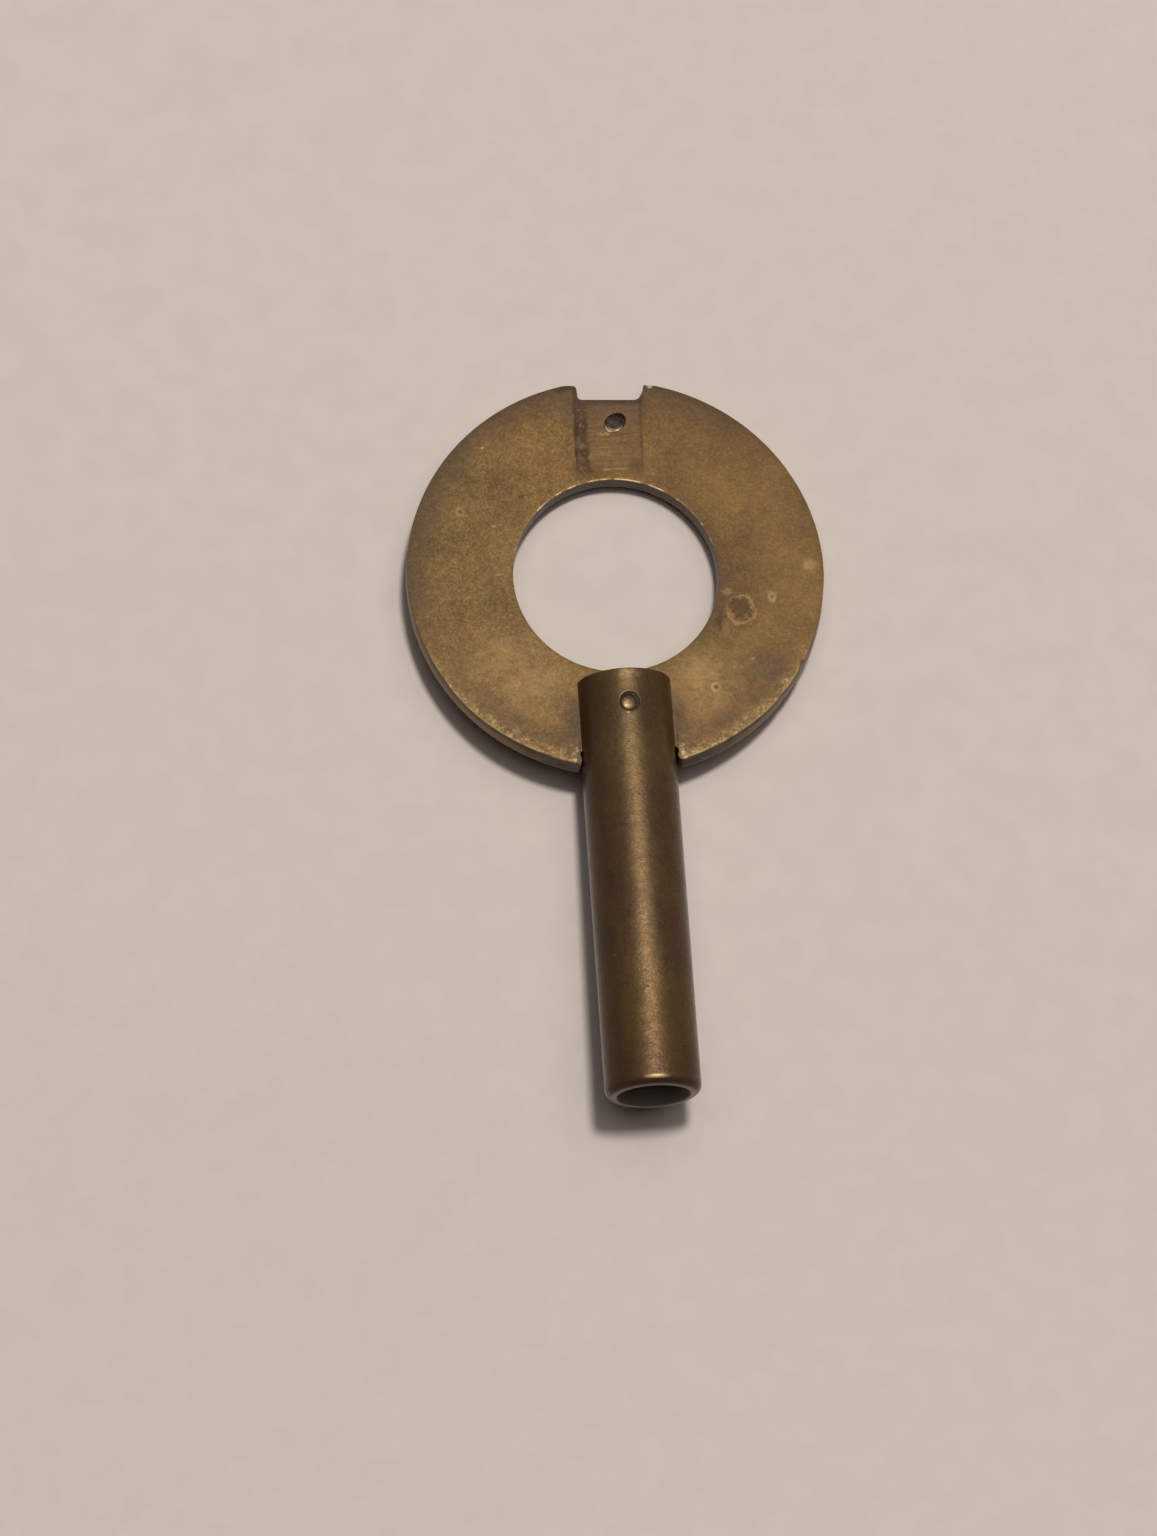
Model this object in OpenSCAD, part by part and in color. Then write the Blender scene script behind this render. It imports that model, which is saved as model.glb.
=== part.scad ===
// Ring-bow clock key: a winding pipe, slotted over the bow and held by one cross pin.
// The seat opposite, for a small setting pipe, is empty and keeps the stub of its pin.
// Origin at the centre of the pipe's mouth, +Y from the mouth to the bow, +Z square to the bow plate.

/* [Bow] */
// Outside diameter of the ring bow
bow_d = 27; // [25:0.5:32]
// Diameter of the finger hole
bow_hole_d = 13.2; // [10:0.2:15]
// Thickness of the bow plate
bow_t = 1.2; // [1:0.1:1.8]
// Rounding on the plate's edges
bow_edge_r = 0.2; // [0.05:0.05:0.4]

/* [Winding pipe] */
// Length of the pipe from mouth to heel
pipe_len = 27.5; // [24:0.5:40]
// Wall of the pipe at its mouth
mouth_wall = 0.75; // [0.6:0.05:1.5]
// Depth of the round mouth in front of the square bush
mouth_len = 4; // [2:0.5:6]
// Rounding outside the mouth
mouth_round = 0.45; // [0.1:0.05:0.55]
// Rounding at the heel
heel_round = 0.3; // [0.1:0.05:0.6]

/* [Square bush] */
// Size of the square socket across its flats
square_af = 2.5; // [2:0.25:4]
// Wall of the bush outside the corners of the square
bush_wall = 0.33; // [0.2:0.01:0.6]
// Length of the bush
bush_len = 9; // [6:0.5:11]
// Step from the round mouth down to the bush
bush_step = 0.2; // [0.1:0.05:0.4]
// Bevel on the ends of the bush and at the square's mouth
bush_bevel = 0.15; // [0.05:0.05:0.25]

/* [Pinned joint] */
// Depth of the notches in the rim, on the centre line
notch_depth = 1.4; // [1:0.1:2]
// Gap on each side between a pipe and its notch
notch_side_gap = 0.15; // [0.05:0.05:0.3]
// Depth of the flat seats filed in both faces of the plate
seat_depth = 0.1; // [0.05:0.05:0.25]
// Plate left between the seats and the finger hole
heel_margin = 0.8; // [0.4:0.1:1.2]
// Diameter of the cross pin
pin_d = 1; // [0.8:0.1:1.4]
// Distance of the cross pin from the floor of its notch
pin_setback = 2.4; // [1.5:0.1:3]
// Height of the pin's domed ends
pin_dome = 0.35; // [0.2:0.05:0.45]
// How far the domes stand proud of the pipe
pin_proud = 0; // [0:0.01:0.15]
// Width of the ring sunk round each end of the pin
sink_ring = 0.17; // [0.15:0.01:0.3]
// How far the sunk rings sit to one side of the pin
sink_shift = 0.12; // [0:0.01:0.13]
// Clearance between fitted pieces
fit_gap = 0.02; // [0.01:0.005:0.05]

/* [Empty seat] */
// Outside diameter of the small pipe that the seat is made for
small_pipe_d = 3.8; // [3.5:0.1:5]
// Turn of this seat round the bow, away from the line of the winding pipe
small_seat_turn = 1.2; // [0:0.1:3]
// Width of the chip out of the rim beside its notch
chip_w = 0.5; // [0.2:0.1:0.8]
// Diameter of the small pipe's pin
small_pin_d = 1.1; // [0.8:0.1:1.4]
// Distance of that pin from the floor of its notch
small_pin_setback = 1.55; // [1.3:0.05:2.5]
// Distance of that pin from the seat's centre line
small_pin_side = 0.4; // [0:0.05:0.5]
// Length by which the hole is torn out of round
torn_len = 0.45; // [0.2:0.05:0.6]
// Direction of the tear, from the +X axis
torn_angle = 35; // [0:1:60]
// Slope of the broken ends of the stub
break_angle = 14; // [4:1:20]
// Depth of the broken ends below the seats
break_depth = 0.18; // [0.1:0.02:0.3]

/* [Hidden] */
$fn = 96;
cut_over = 1;
aged_brass = [0.50, 0.39, 0.25];
dark_brass = [0.41, 0.33, 0.23];
worn_brass = [0.56, 0.46, 0.32];
broken_metal = [0.27, 0.25, 0.23];

square_diagonal = square_af * sqrt(2);
bush_d = square_diagonal + 2 * bush_wall;
mouth_d = bush_d + 2 * bush_step;
pipe_d = mouth_d + 2 * mouth_wall;
pocket_d = bush_d + 2 * fit_gap;
pocket_end = mouth_len + bush_len;

ring_w = (bow_d - bow_hole_d) / 2;
bow_y = pipe_len + heel_margin + bow_hole_d / 2;
notch_floor = bow_d / 2 - notch_depth;
seat_end = bow_hole_d / 2 + heel_margin;
seat_t = bow_t - 2 * seat_depth;
slot_w = seat_t + 2 * fit_gap;
slot_y = bow_y - notch_floor;

pin_y = slot_y + pin_setback;
pin_top = pipe_d / 2 + pin_proud;
pin_shoulder = pin_top - pin_dome;
pin_hole_d = pin_d + 2 * fit_gap;
sink_d = pin_d + 2 * sink_ring;

small_pin_y = notch_floor - small_pin_setback;
small_hole_d = small_pin_d + 2 * fit_gap;
torn_d = small_hole_d - torn_len / 2;
stub_half = seat_t / 2 - break_depth;

// Width of the notch and seat for a pipe of diameter d
function seat_w(d) = d + 2 * notch_side_gap;

// Turns a solid made along Z to lie along the pipe's axis, +Y
module along_pipe() rotate([-90, 0, 0]) children();

// What a rounding of radius r takes off the corner of a square of the plane at the origin,
// where the material lies towards -X and +Y
module corner_waste(r) {
    difference() {
        translate([-r, -cut_over]) square([r + cut_over, r + cut_over]);
        translate([-r, r]) circle(r);
    }
}

// Flat strip w wide and t thick with rounded edges, as a section standing on the Y axis
module rounded_strip(w, t, r) {
    difference() {
        translate([0, -t / 2]) square([w, t]);
        for (flip = [0, 1]) mirror([0, flip]) {
            translate([w, -t / 2]) corner_waste(r);
            translate([0, -t / 2]) mirror([1, 0]) corner_waste(r);
        }
    }
}

// U-shaped outline w wide, closed at y = 0 with corners of radius r and open at y = len
module u_outline(w, len, r) {
    translate([-w / 2, r]) square([w, len - r]);
    translate([r - w / 2, 0]) square([w - 2 * r, len]);
    for (side = [-1, 1]) translate([side * (w / 2 - r), r]) circle(r);
}

// Pin of diameter d and length h about the origin, with domed ends of height dome_h
module domed_pin(d, h, dome_h) {
    ball_r = (d * d / 4 + dome_h * dome_h) / (2 * dome_h);
    rotate_extrude() intersection() {
        translate([0, -h / 2]) square([d / 2, h]);
        union() {
            translate([0, dome_h - h / 2]) square([d / 2, h - 2 * dome_h]);
            for (side = [-1, 1]) translate([0, side * (h / 2 - ball_r)]) circle(ball_r);
        }
    }
}

// Notch in the rim and the seats behind it for a pipe of diameter d, in the plate's own plane,
// with the pipe leaving towards +Y
module pipe_seat(d) {
    w = seat_w(d);
    reach = bow_d / 2 + cut_over;
    translate([0, notch_floor, -bow_t]) linear_extrude(2 * bow_t)
        u_outline(w, reach - notch_floor, notch_side_gap);
    for (flip = [0, 1]) mirror([0, 0, flip]) translate([0, seat_end, seat_t / 2]) linear_extrude(bow_t)
        u_outline(w, reach - seat_end, notch_side_gap);
}

// Turns what is made in the plate's own plane, about the bow's centre, to its place at the empty seat
module at_small_seat() translate([0, bow_y, 0]) rotate([0, 0, -small_seat_turn]) children();

// Chip out of the rim on one side of the empty notch, in the plate's own plane
module rim_chip() {
    translate([seat_w(small_pipe_d) / 2, notch_floor + notch_side_gap, -bow_t]) linear_extrude(2 * bow_t)
        polygon([[0, 0], [chip_w, notch_depth - notch_side_gap], [-notch_side_gap, notch_depth], [-notch_side_gap, 0]]);
}

// Hole of the small pipe's pin, torn to one side when the pipe came away
module torn_hole() {
    cylinder(d = small_hole_d, h = 2 * bow_t, center = true);
    rotate([0, 0, torn_angle]) translate([torn_len, 0, 0]) cylinder(d = torn_d, h = 2 * bow_t, center = true);
}

module bow() {
    color(aged_brass) difference() {
        translate([0, bow_y, 0]) rotate_extrude() translate([bow_hole_d / 2, 0])
            rounded_strip(ring_w, bow_t, bow_edge_r);
        translate([0, bow_y, 0]) rotate([0, 0, 180]) pipe_seat(pipe_d);
        translate([0, pin_y, 0]) cylinder(d = pin_hole_d, h = 2 * bow_t, center = true);
        at_small_seat() {
            pipe_seat(small_pipe_d);
            rim_chip();
            translate([small_pin_side, small_pin_y, 0]) torn_hole();
        }
    }
}

// Half section of the pipe, mouth at y = 0, with its bore and the flat-bottomed pocket of the bush
module pipe_section() {
    difference() {
        square([pipe_d / 2, pipe_len]);
        translate([pipe_d / 2, 0]) corner_waste(mouth_round);
        translate([pipe_d / 2, pipe_len]) mirror([0, 1]) corner_waste(heel_round);
        translate([0, -cut_over]) square([mouth_d / 2, mouth_len + cut_over]);
        translate([0, -cut_over]) square([pocket_d / 2, pocket_end + cut_over]);
    }
}

module winding_pipe() {
    color(dark_brass) difference() {
        along_pipe() rotate_extrude() pipe_section();
        translate([-pipe_d, slot_y, -slot_w / 2]) cube([2 * pipe_d, pipe_len, slot_w]);
        translate([0, pin_y, 0]) cylinder(d = pin_hole_d, h = 2 * pipe_d, center = true);
        for (flip = [0, 1]) mirror([0, 0, flip]) translate([sink_shift, pin_y, pin_shoulder])
            cylinder(d = sink_d, h = pipe_d);
    }
}

module square_bush() {
    bevel_d = square_diagonal + 2 * bush_bevel;
    color(worn_brass) translate([0, mouth_len, 0]) along_pipe() difference() {
        rotate_extrude() polygon([
            [0, 0], [bush_d / 2 - bush_bevel, 0], [bush_d / 2, bush_bevel],
            [bush_d / 2, bush_len - bush_bevel], [bush_d / 2 - bush_bevel, bush_len], [0, bush_len]
        ]);
        translate([0, 0, bush_len / 2]) cube([square_af, square_af, 2 * bush_len], center = true);
        translate([0, 0, -bush_bevel]) cylinder(d1 = bevel_d, d2 = bevel_d - 4 * bush_bevel, h = 2 * bush_bevel);
    }
}

module pipe_pin() {
    color(dark_brass) translate([0, pin_y, 0]) domed_pin(pin_d, 2 * pin_top, pin_dome);
}

// Stub whose broken ends slope down towards the tear
module broken_pin() {
    color(broken_metal) at_small_seat() translate([small_pin_side, small_pin_y, 0]) intersection() {
        cylinder(d = small_pin_d, h = seat_t, center = true);
        rotate([0, break_angle, torn_angle])
            cube([2 * small_pin_d, 2 * small_pin_d, 2 * stub_half], center = true);
    }
}

bow();
winding_pipe();
square_bush();
pipe_pin();
broken_pin();
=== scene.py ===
"""Looks of a ring-bow clock key: its bow, the pinned winding pipe, the pins and the light they lie in.

Sizes are in millimetres in the key's own frame, with the origin at the centre of the pipe's mouth,
+Y from the mouth to the bow and +Z square to the bow plate. Meshes go to Blender in metres.
"""

import logging
import math
from collections.abc import Callable, Sequence
from dataclasses import dataclass
from enum import Enum
from itertools import pairwise

import bmesh
import bpy
import numpy as np
from mathutils import Matrix, Vector


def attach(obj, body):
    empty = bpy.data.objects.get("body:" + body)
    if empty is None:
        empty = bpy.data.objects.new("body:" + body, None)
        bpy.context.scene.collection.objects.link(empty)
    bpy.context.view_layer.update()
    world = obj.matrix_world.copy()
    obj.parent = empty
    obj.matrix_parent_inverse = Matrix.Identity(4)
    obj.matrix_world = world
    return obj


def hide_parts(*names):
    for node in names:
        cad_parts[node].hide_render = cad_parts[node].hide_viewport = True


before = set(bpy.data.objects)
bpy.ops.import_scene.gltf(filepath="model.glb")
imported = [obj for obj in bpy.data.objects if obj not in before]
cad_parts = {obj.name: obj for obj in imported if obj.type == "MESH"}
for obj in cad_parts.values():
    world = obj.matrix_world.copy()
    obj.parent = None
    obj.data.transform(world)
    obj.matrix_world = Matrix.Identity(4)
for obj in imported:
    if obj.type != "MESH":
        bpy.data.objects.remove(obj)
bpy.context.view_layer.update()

LOG = logging.getLogger("clock_key")
Array = np.ndarray
Socket = bpy.types.NodeSocket
Value = Socket | float
Triple = tuple[float, float, float]
Colour = Triple
Tone = Socket | Colour
Pair = tuple[float, float]
Block = tuple[int, int, int, int]
Measure = Callable[[Array], Array]

MM = 0.001
WELD = 1e-6
CREASE = math.radians(38)
WAVES = 12
PACES = (0.6, 1.4)
CURL_ROWS = 5
BODY = "root"

# Places and leans that several classes share; the tear and the joint are about the bow's centre
BOW_Y = 34.9
PIN_Y = 25.2
STUB = (0.56, 45.4)
TEAR = (0.67, 10.56)
TEAR_ANGLE = math.radians(38.0)
JOINT_LEAN = 0.13
JOINT_SPAN = (-9.0, -12.0)


class Slot(Enum):
    """Material slots of the record."""

    BOW = "bow_brass"
    PIPE = "pipe_brass"
    BUSH = "bush_brass"
    PIN = "pin_brass"
    STUB = "stub_brass"


class Op(Enum):
    """Sums that a Math node works out."""

    ADD = "ADD"
    SUBTRACT = "SUBTRACT"
    MULTIPLY = "MULTIPLY"
    MULTIPLY_ADD = "MULTIPLY_ADD"
    MAXIMUM = "MAXIMUM"
    ABSOLUTE = "ABSOLUTE"


class Mix(Enum):
    """Ways to mix two colours."""

    COVER = "MIX"
    TINT = "MULTIPLY"


def ease(low: float, high: float, value: Array) -> Array:
    """Smooth step of a value from 0 at low to 1 at high.

    Args:
        low: value that gives 0.
        high: value that gives 1.
        value: values to map.

    Returns:
        3t^2 - 2t^3, where t is the value's clamped share of the way from low to high.
    """
    t = np.clip((value - low) / (high - low), 0.0, 1.0)
    return t * t * (3.0 - 2.0 * t)


def ripple(x: Array, y: Array, waves_per_mm: float, seed: int) -> Array:
    """Uneven height field, as the sum of sine waves in seeded directions.

    Args:
        x: first coordinate in millimetres.
        y: second coordinate in millimetres.
        waves_per_mm: usual number of waves in a millimetre.
        seed: seed of the directions, paces and phases.

    Returns:
        Heights between about -1 and 1.
    """
    rng = np.random.default_rng(seed)
    turn = rng.uniform(0.0, math.tau, WAVES)
    pace = math.tau * waves_per_mm * rng.uniform(*PACES, WAVES)
    phase = rng.uniform(0.0, math.tau, WAVES)
    along = x[..., None] * np.cos(turn) + y[..., None] * np.sin(turn)
    return np.sin(pace * along + phase).sum(-1) / (WAVES / 2)


def ripples(x: Array, y: Array, waves: Sequence[Pair], seed: int) -> Array:
    """Sum of ripples of several sizes.

    Args:
        x: first coordinate in millimetres.
        y: second coordinate in millimetres.
        waves: height of each ripple in millimetres and its number of waves in a millimetre.
        seed: seed of the first ripple, from which the others count on.

    Returns:
        Heights about 0.
    """
    return sum(height * ripple(x, y, pace, seed + step) for step, (height, pace) in enumerate(waves))


def soften(path: Array, reach: int) -> Array:
    """Rounds the corners of a closed path of evenly spaced points.

    Args:
        path: points in order, of shape (n, k).
        reach: number of neighbours on each side that a point is averaged with.

    Returns:
        Moving mean of the path, which leaves straight runs where they are.
    """
    wrapped = np.concatenate([path[-reach:], path, path[:reach]])
    total = np.cumsum(wrapped, axis=0)
    return (total[2 * reach:] - total[:-2 * reach]) / (2 * reach)


def close(loop: Array) -> Array:
    """The loop with its first column repeated at its end."""
    return np.concatenate([loop, loop[..., :1, :]], axis=-2)


def lift(plan: Array, height: Array | float) -> Array:
    """Points of the plane with a height as their third coordinate."""
    return np.concatenate([plan, np.broadcast_to(height, plan.shape[:-1])[..., None]], axis=-1)


def polar(angle: Array) -> Array:
    """Unit vectors of the plane at angles from +X."""
    return np.stack([np.cos(angle), np.sin(angle)], axis=-1)


def compass(angle: Array) -> Array:
    """Unit vectors of the plane at clockwise angles from +Y."""
    return np.stack([np.sin(angle), np.cos(angle)], axis=-1)


def bearing(x: float, radius: float) -> float:
    """Clockwise angle from +Y at which the upper half of a circle has the coordinate x."""
    return math.asin(x / radius)


def rays_to(loop: Array, centre: Array) -> tuple[Array, Array]:
    """Directions from a centre to the points of a loop.

    Args:
        loop: points of the plane, of shape (n, 2).
        centre: point that the directions start from.

    Returns:
        Angles from +X, and unit vectors at those angles.
    """
    offset = loop - centre
    angle = np.arctan2(offset[:, 1], offset[:, 0])
    return angle, polar(angle)


def curl(rim: Array, ray: Array, edge_r: float) -> tuple[Array, Array]:
    """Quarter round that takes a face over the edge of a hole.

    Args:
        rim: points of the plane where the face ends.
        ray: unit vectors from the hole's middle to them.
        edge_r: radius of the rounding.

    Returns:
        Rows of points, moved in by the radius times the sine of their swing, and the drop of each row below
        the face, the radius times one less the cosine.
    """
    swing = np.linspace(0.0, math.pi / 2, CURL_ROWS)[1:, None]
    return rim - edge_r * np.sin(swing)[..., None] * ray, edge_r * (1.0 - np.cos(swing))


def block_loop(grid: Array, block: Block) -> Array:
    """Points round a block of a grid.

    Args:
        grid: points of shape (rows, columns, k).
        block: first and last row, first and last column.

    Returns:
        Points along the first row, up the last column, back along the last row and down the first column.
    """
    r0, r1, c0, c1 = block
    return np.concatenate([grid[r0, c0:c1], grid[r0:r1, c1], grid[r1, c1:c0:-1], grid[r1:r0:-1, c0]])


def block_round(plan: Array, centre: Array, reach: float) -> Block:
    """Smallest block of a grid that holds every point within reach of a centre along both axes.

    Args:
        plan: grid of points in the plane, of shape (rows, columns, 2).
        centre: middle of the block.
        reach: half the width of the block.

    Returns:
        First and last row, first and last column.
    """
    inside = (np.abs(plan - centre) < reach).all(-1)
    rows = np.flatnonzero(inside.any(1))
    columns = np.flatnonzero(inside.any(0))
    return int(rows[0]), int(rows[-1]), int(columns[0]), int(columns[-1])


class Shell:
    """Grids of points in millimetres, welded along their shared edges into one mesh."""

    def __init__(self) -> None:
        """Starts with no grids."""
        self.points: list[Array] = []
        self.quads: list[Array] = []
        self.count = 0

    def add(self, grid: Array, gaps: Sequence[Block] = ()) -> None:
        """Adds the cells of a grid as quads.

        Args:
            grid: points of shape (rows, columns, 3).
            gaps: blocks of cells to leave out.
        """
        rows, columns = grid.shape[:2]
        index = np.arange(rows * columns).reshape(rows, columns)
        quads = np.stack([index[:-1, :-1], index[:-1, 1:], index[1:, 1:], index[1:, :-1]], axis=-1)
        keep = np.ones((rows - 1, columns - 1), bool)
        for r0, r1, c0, c1 in gaps:
            keep[r0:r1, c0:c1] = False
        used, packed = np.unique(quads[keep], return_inverse=True)
        self.quads.append(packed.reshape(-1, 4) + self.count)
        self.points.append(grid.reshape(-1, 3)[used])
        self.count += len(used)

    def build(self, name: str, measures: dict[str, Measure]) -> bpy.types.Object:
        """Welds the grids, turns the faces outwards and makes the object.

        Args:
            name: name of the piece.
            measures: for each attribute to store, a rule from points in millimetres to its values.

        Returns:
            The finished object, at the origin.
        """
        mesh = bpy.data.meshes.new(name)
        mesh.from_pydata((np.concatenate(self.points) * MM).tolist(), [], np.concatenate(self.quads).tolist())
        work = bmesh.new()
        work.from_mesh(mesh)
        bmesh.ops.remove_doubles(work, verts=work.verts, dist=WELD)
        bmesh.ops.recalc_face_normals(work, faces=work.faces)
        work.to_mesh(mesh)
        work.free()
        mesh.polygons.foreach_set("use_smooth", np.ones(len(mesh.polygons), bool))
        mesh.set_sharp_from_angle(angle=CREASE)
        points = np.empty(3 * len(mesh.vertices), np.float32)
        mesh.vertices.foreach_get("co", points)
        for label, rule in measures.items():
            layer = mesh.attributes.new(label, "FLOAT", "POINT")
            layer.data.foreach_set("value", rule(points.reshape(-1, 3) / MM).astype(np.float32))
        piece = bpy.data.objects.new(name, mesh)
        bpy.context.scene.collection.objects.link(piece)
        return piece


class Finish:
    """Finish of a piece, which makes its material."""

    def material(self) -> bpy.types.Material:
        """The finish as a material."""
        raise NotImplementedError


class Piece:
    """New piece of the key, which builds its mesh and dresses it."""

    def build(self) -> bpy.types.Object:
        """The piece's mesh as an object at the origin."""
        raise NotImplementedError

    def dress(self, finish: Finish, node: str, slot: Slot) -> bpy.types.Object:
        """Builds the piece and gives it its material and its place on the key.

        Args:
            finish: what its material is made from.
            node: name of the solid that it stands for.
            slot: the record's slot that its finish belongs to; not used.

        Returns:
            The dressed piece.
        """
        piece = self.build()
        piece.data.materials.append(finish.material())
        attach(piece, BODY)
        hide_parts(node)
        LOG.info("%s stands for %s with %d faces", piece.name, node, len(piece.data.polygons))
        return piece


@dataclass
class EmptySeat:
    """Notch, filed seat and torn pin hole of the missing setting pipe, about the bow's centre."""

    floor_left: Pair = (-1.62, 12.26)
    floor_right: Pair = (2.24, 12.1)
    knee: Pair = (2.62, 12.56)
    rim_left: float = -1.69
    rim_right: float = 2.7
    tip_cut: Pair = (0.76, 0.17)
    seat_centre: float = 0.19
    seat_half_w: float = 2.14
    seat_skew: float = math.radians(1.6)
    skew_from: float = 9.8
    seat_end: float = 7.05
    seat_depth: float = 0.05
    side_step: float = 0.16
    run_out: float = 0.5
    tear_long: float = 0.77
    tear_short: float = 0.57
    crust_edge: float = -1.12
    crust_blur: float = 0.15
    crust_start: Pair = (6.8, 7.6)
    crust_stop: Pair = (12.0, 11.4)
    crust_side: float = 0.2
    crust_waves: tuple[Pair, ...] = ((0.2, 0.7), (0.1, 2.2))
    side_waves: tuple[Pair, ...] = ((0.06, 1.6),)
    crust_seed: int = 11
    side_seed: int = 13

    def side_gap(self, x: Array, y: Array) -> Array:
        """Distance to the nearer side of the skewed seat, below zero inside."""
        lean = np.tan(self.seat_skew) * (y - self.skew_from)
        return np.abs((x - self.seat_centre) - lean) - self.seat_half_w

    def filed(self, x: Array, y: Array) -> Array:
        """Share of the seat's depth that is filed away.

        Args:
            x: coordinate across the seat.
            y: coordinate along the seat.

        Returns:
            1 in the seat and 0 beside it, with steep sides and a gentle run-out towards the finger hole.
        """
        end = ease(self.seat_end - self.run_out, self.seat_end + self.run_out, y)
        return end * ease(self.side_step, -self.side_step, self.side_gap(x, y))

    def notch_gap(self, x: Array, y: Array) -> Array:
        """Distance to the notch's walls and floor.

        Args:
            x: coordinate across the notch.
            y: coordinate along the notch.

        Returns:
            Distance to a box that is open towards the rim, 0 inside it.
        """
        middle = (self.floor_left[0] + self.floor_right[0]) / 2.0
        half = (self.floor_right[0] - self.floor_left[0]) / 2.0
        return np.hypot(np.maximum(np.abs(x - middle) - half, 0.0), np.maximum(self.floor_right[1] - y, 0.0))

    def crust(self, x: Array, y: Array) -> Array:
        """Share of old solder and dirt along the seat's left edge.

        Args:
            x: coordinate across the seat.
            y: coordinate along the seat.

        Returns:
            Product of eased borders, from 0 to 1, whose places stray with ripples.
        """
        ragged = x + ripples(x, y, self.crust_waves, self.crust_seed)
        inner = ease(self.crust_edge + self.crust_blur, self.crust_edge - self.crust_blur, ragged)
        ends = ease(*self.crust_start, y) * ease(*self.crust_stop, y)
        side = self.side_gap(x, y) + ripples(x, y, self.side_waves, self.side_seed)
        return inner * ends * ease(self.crust_side, 0.0, side)

    def tear_radius(self, angle: Array) -> Array:
        """Radius of the torn hole from its middle, as an ellipse drawn out along the tear."""
        turn = angle - TEAR_ANGLE
        return 1.0 / np.hypot(np.cos(turn) / self.tear_long, np.sin(turn) / self.tear_short)


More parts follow.
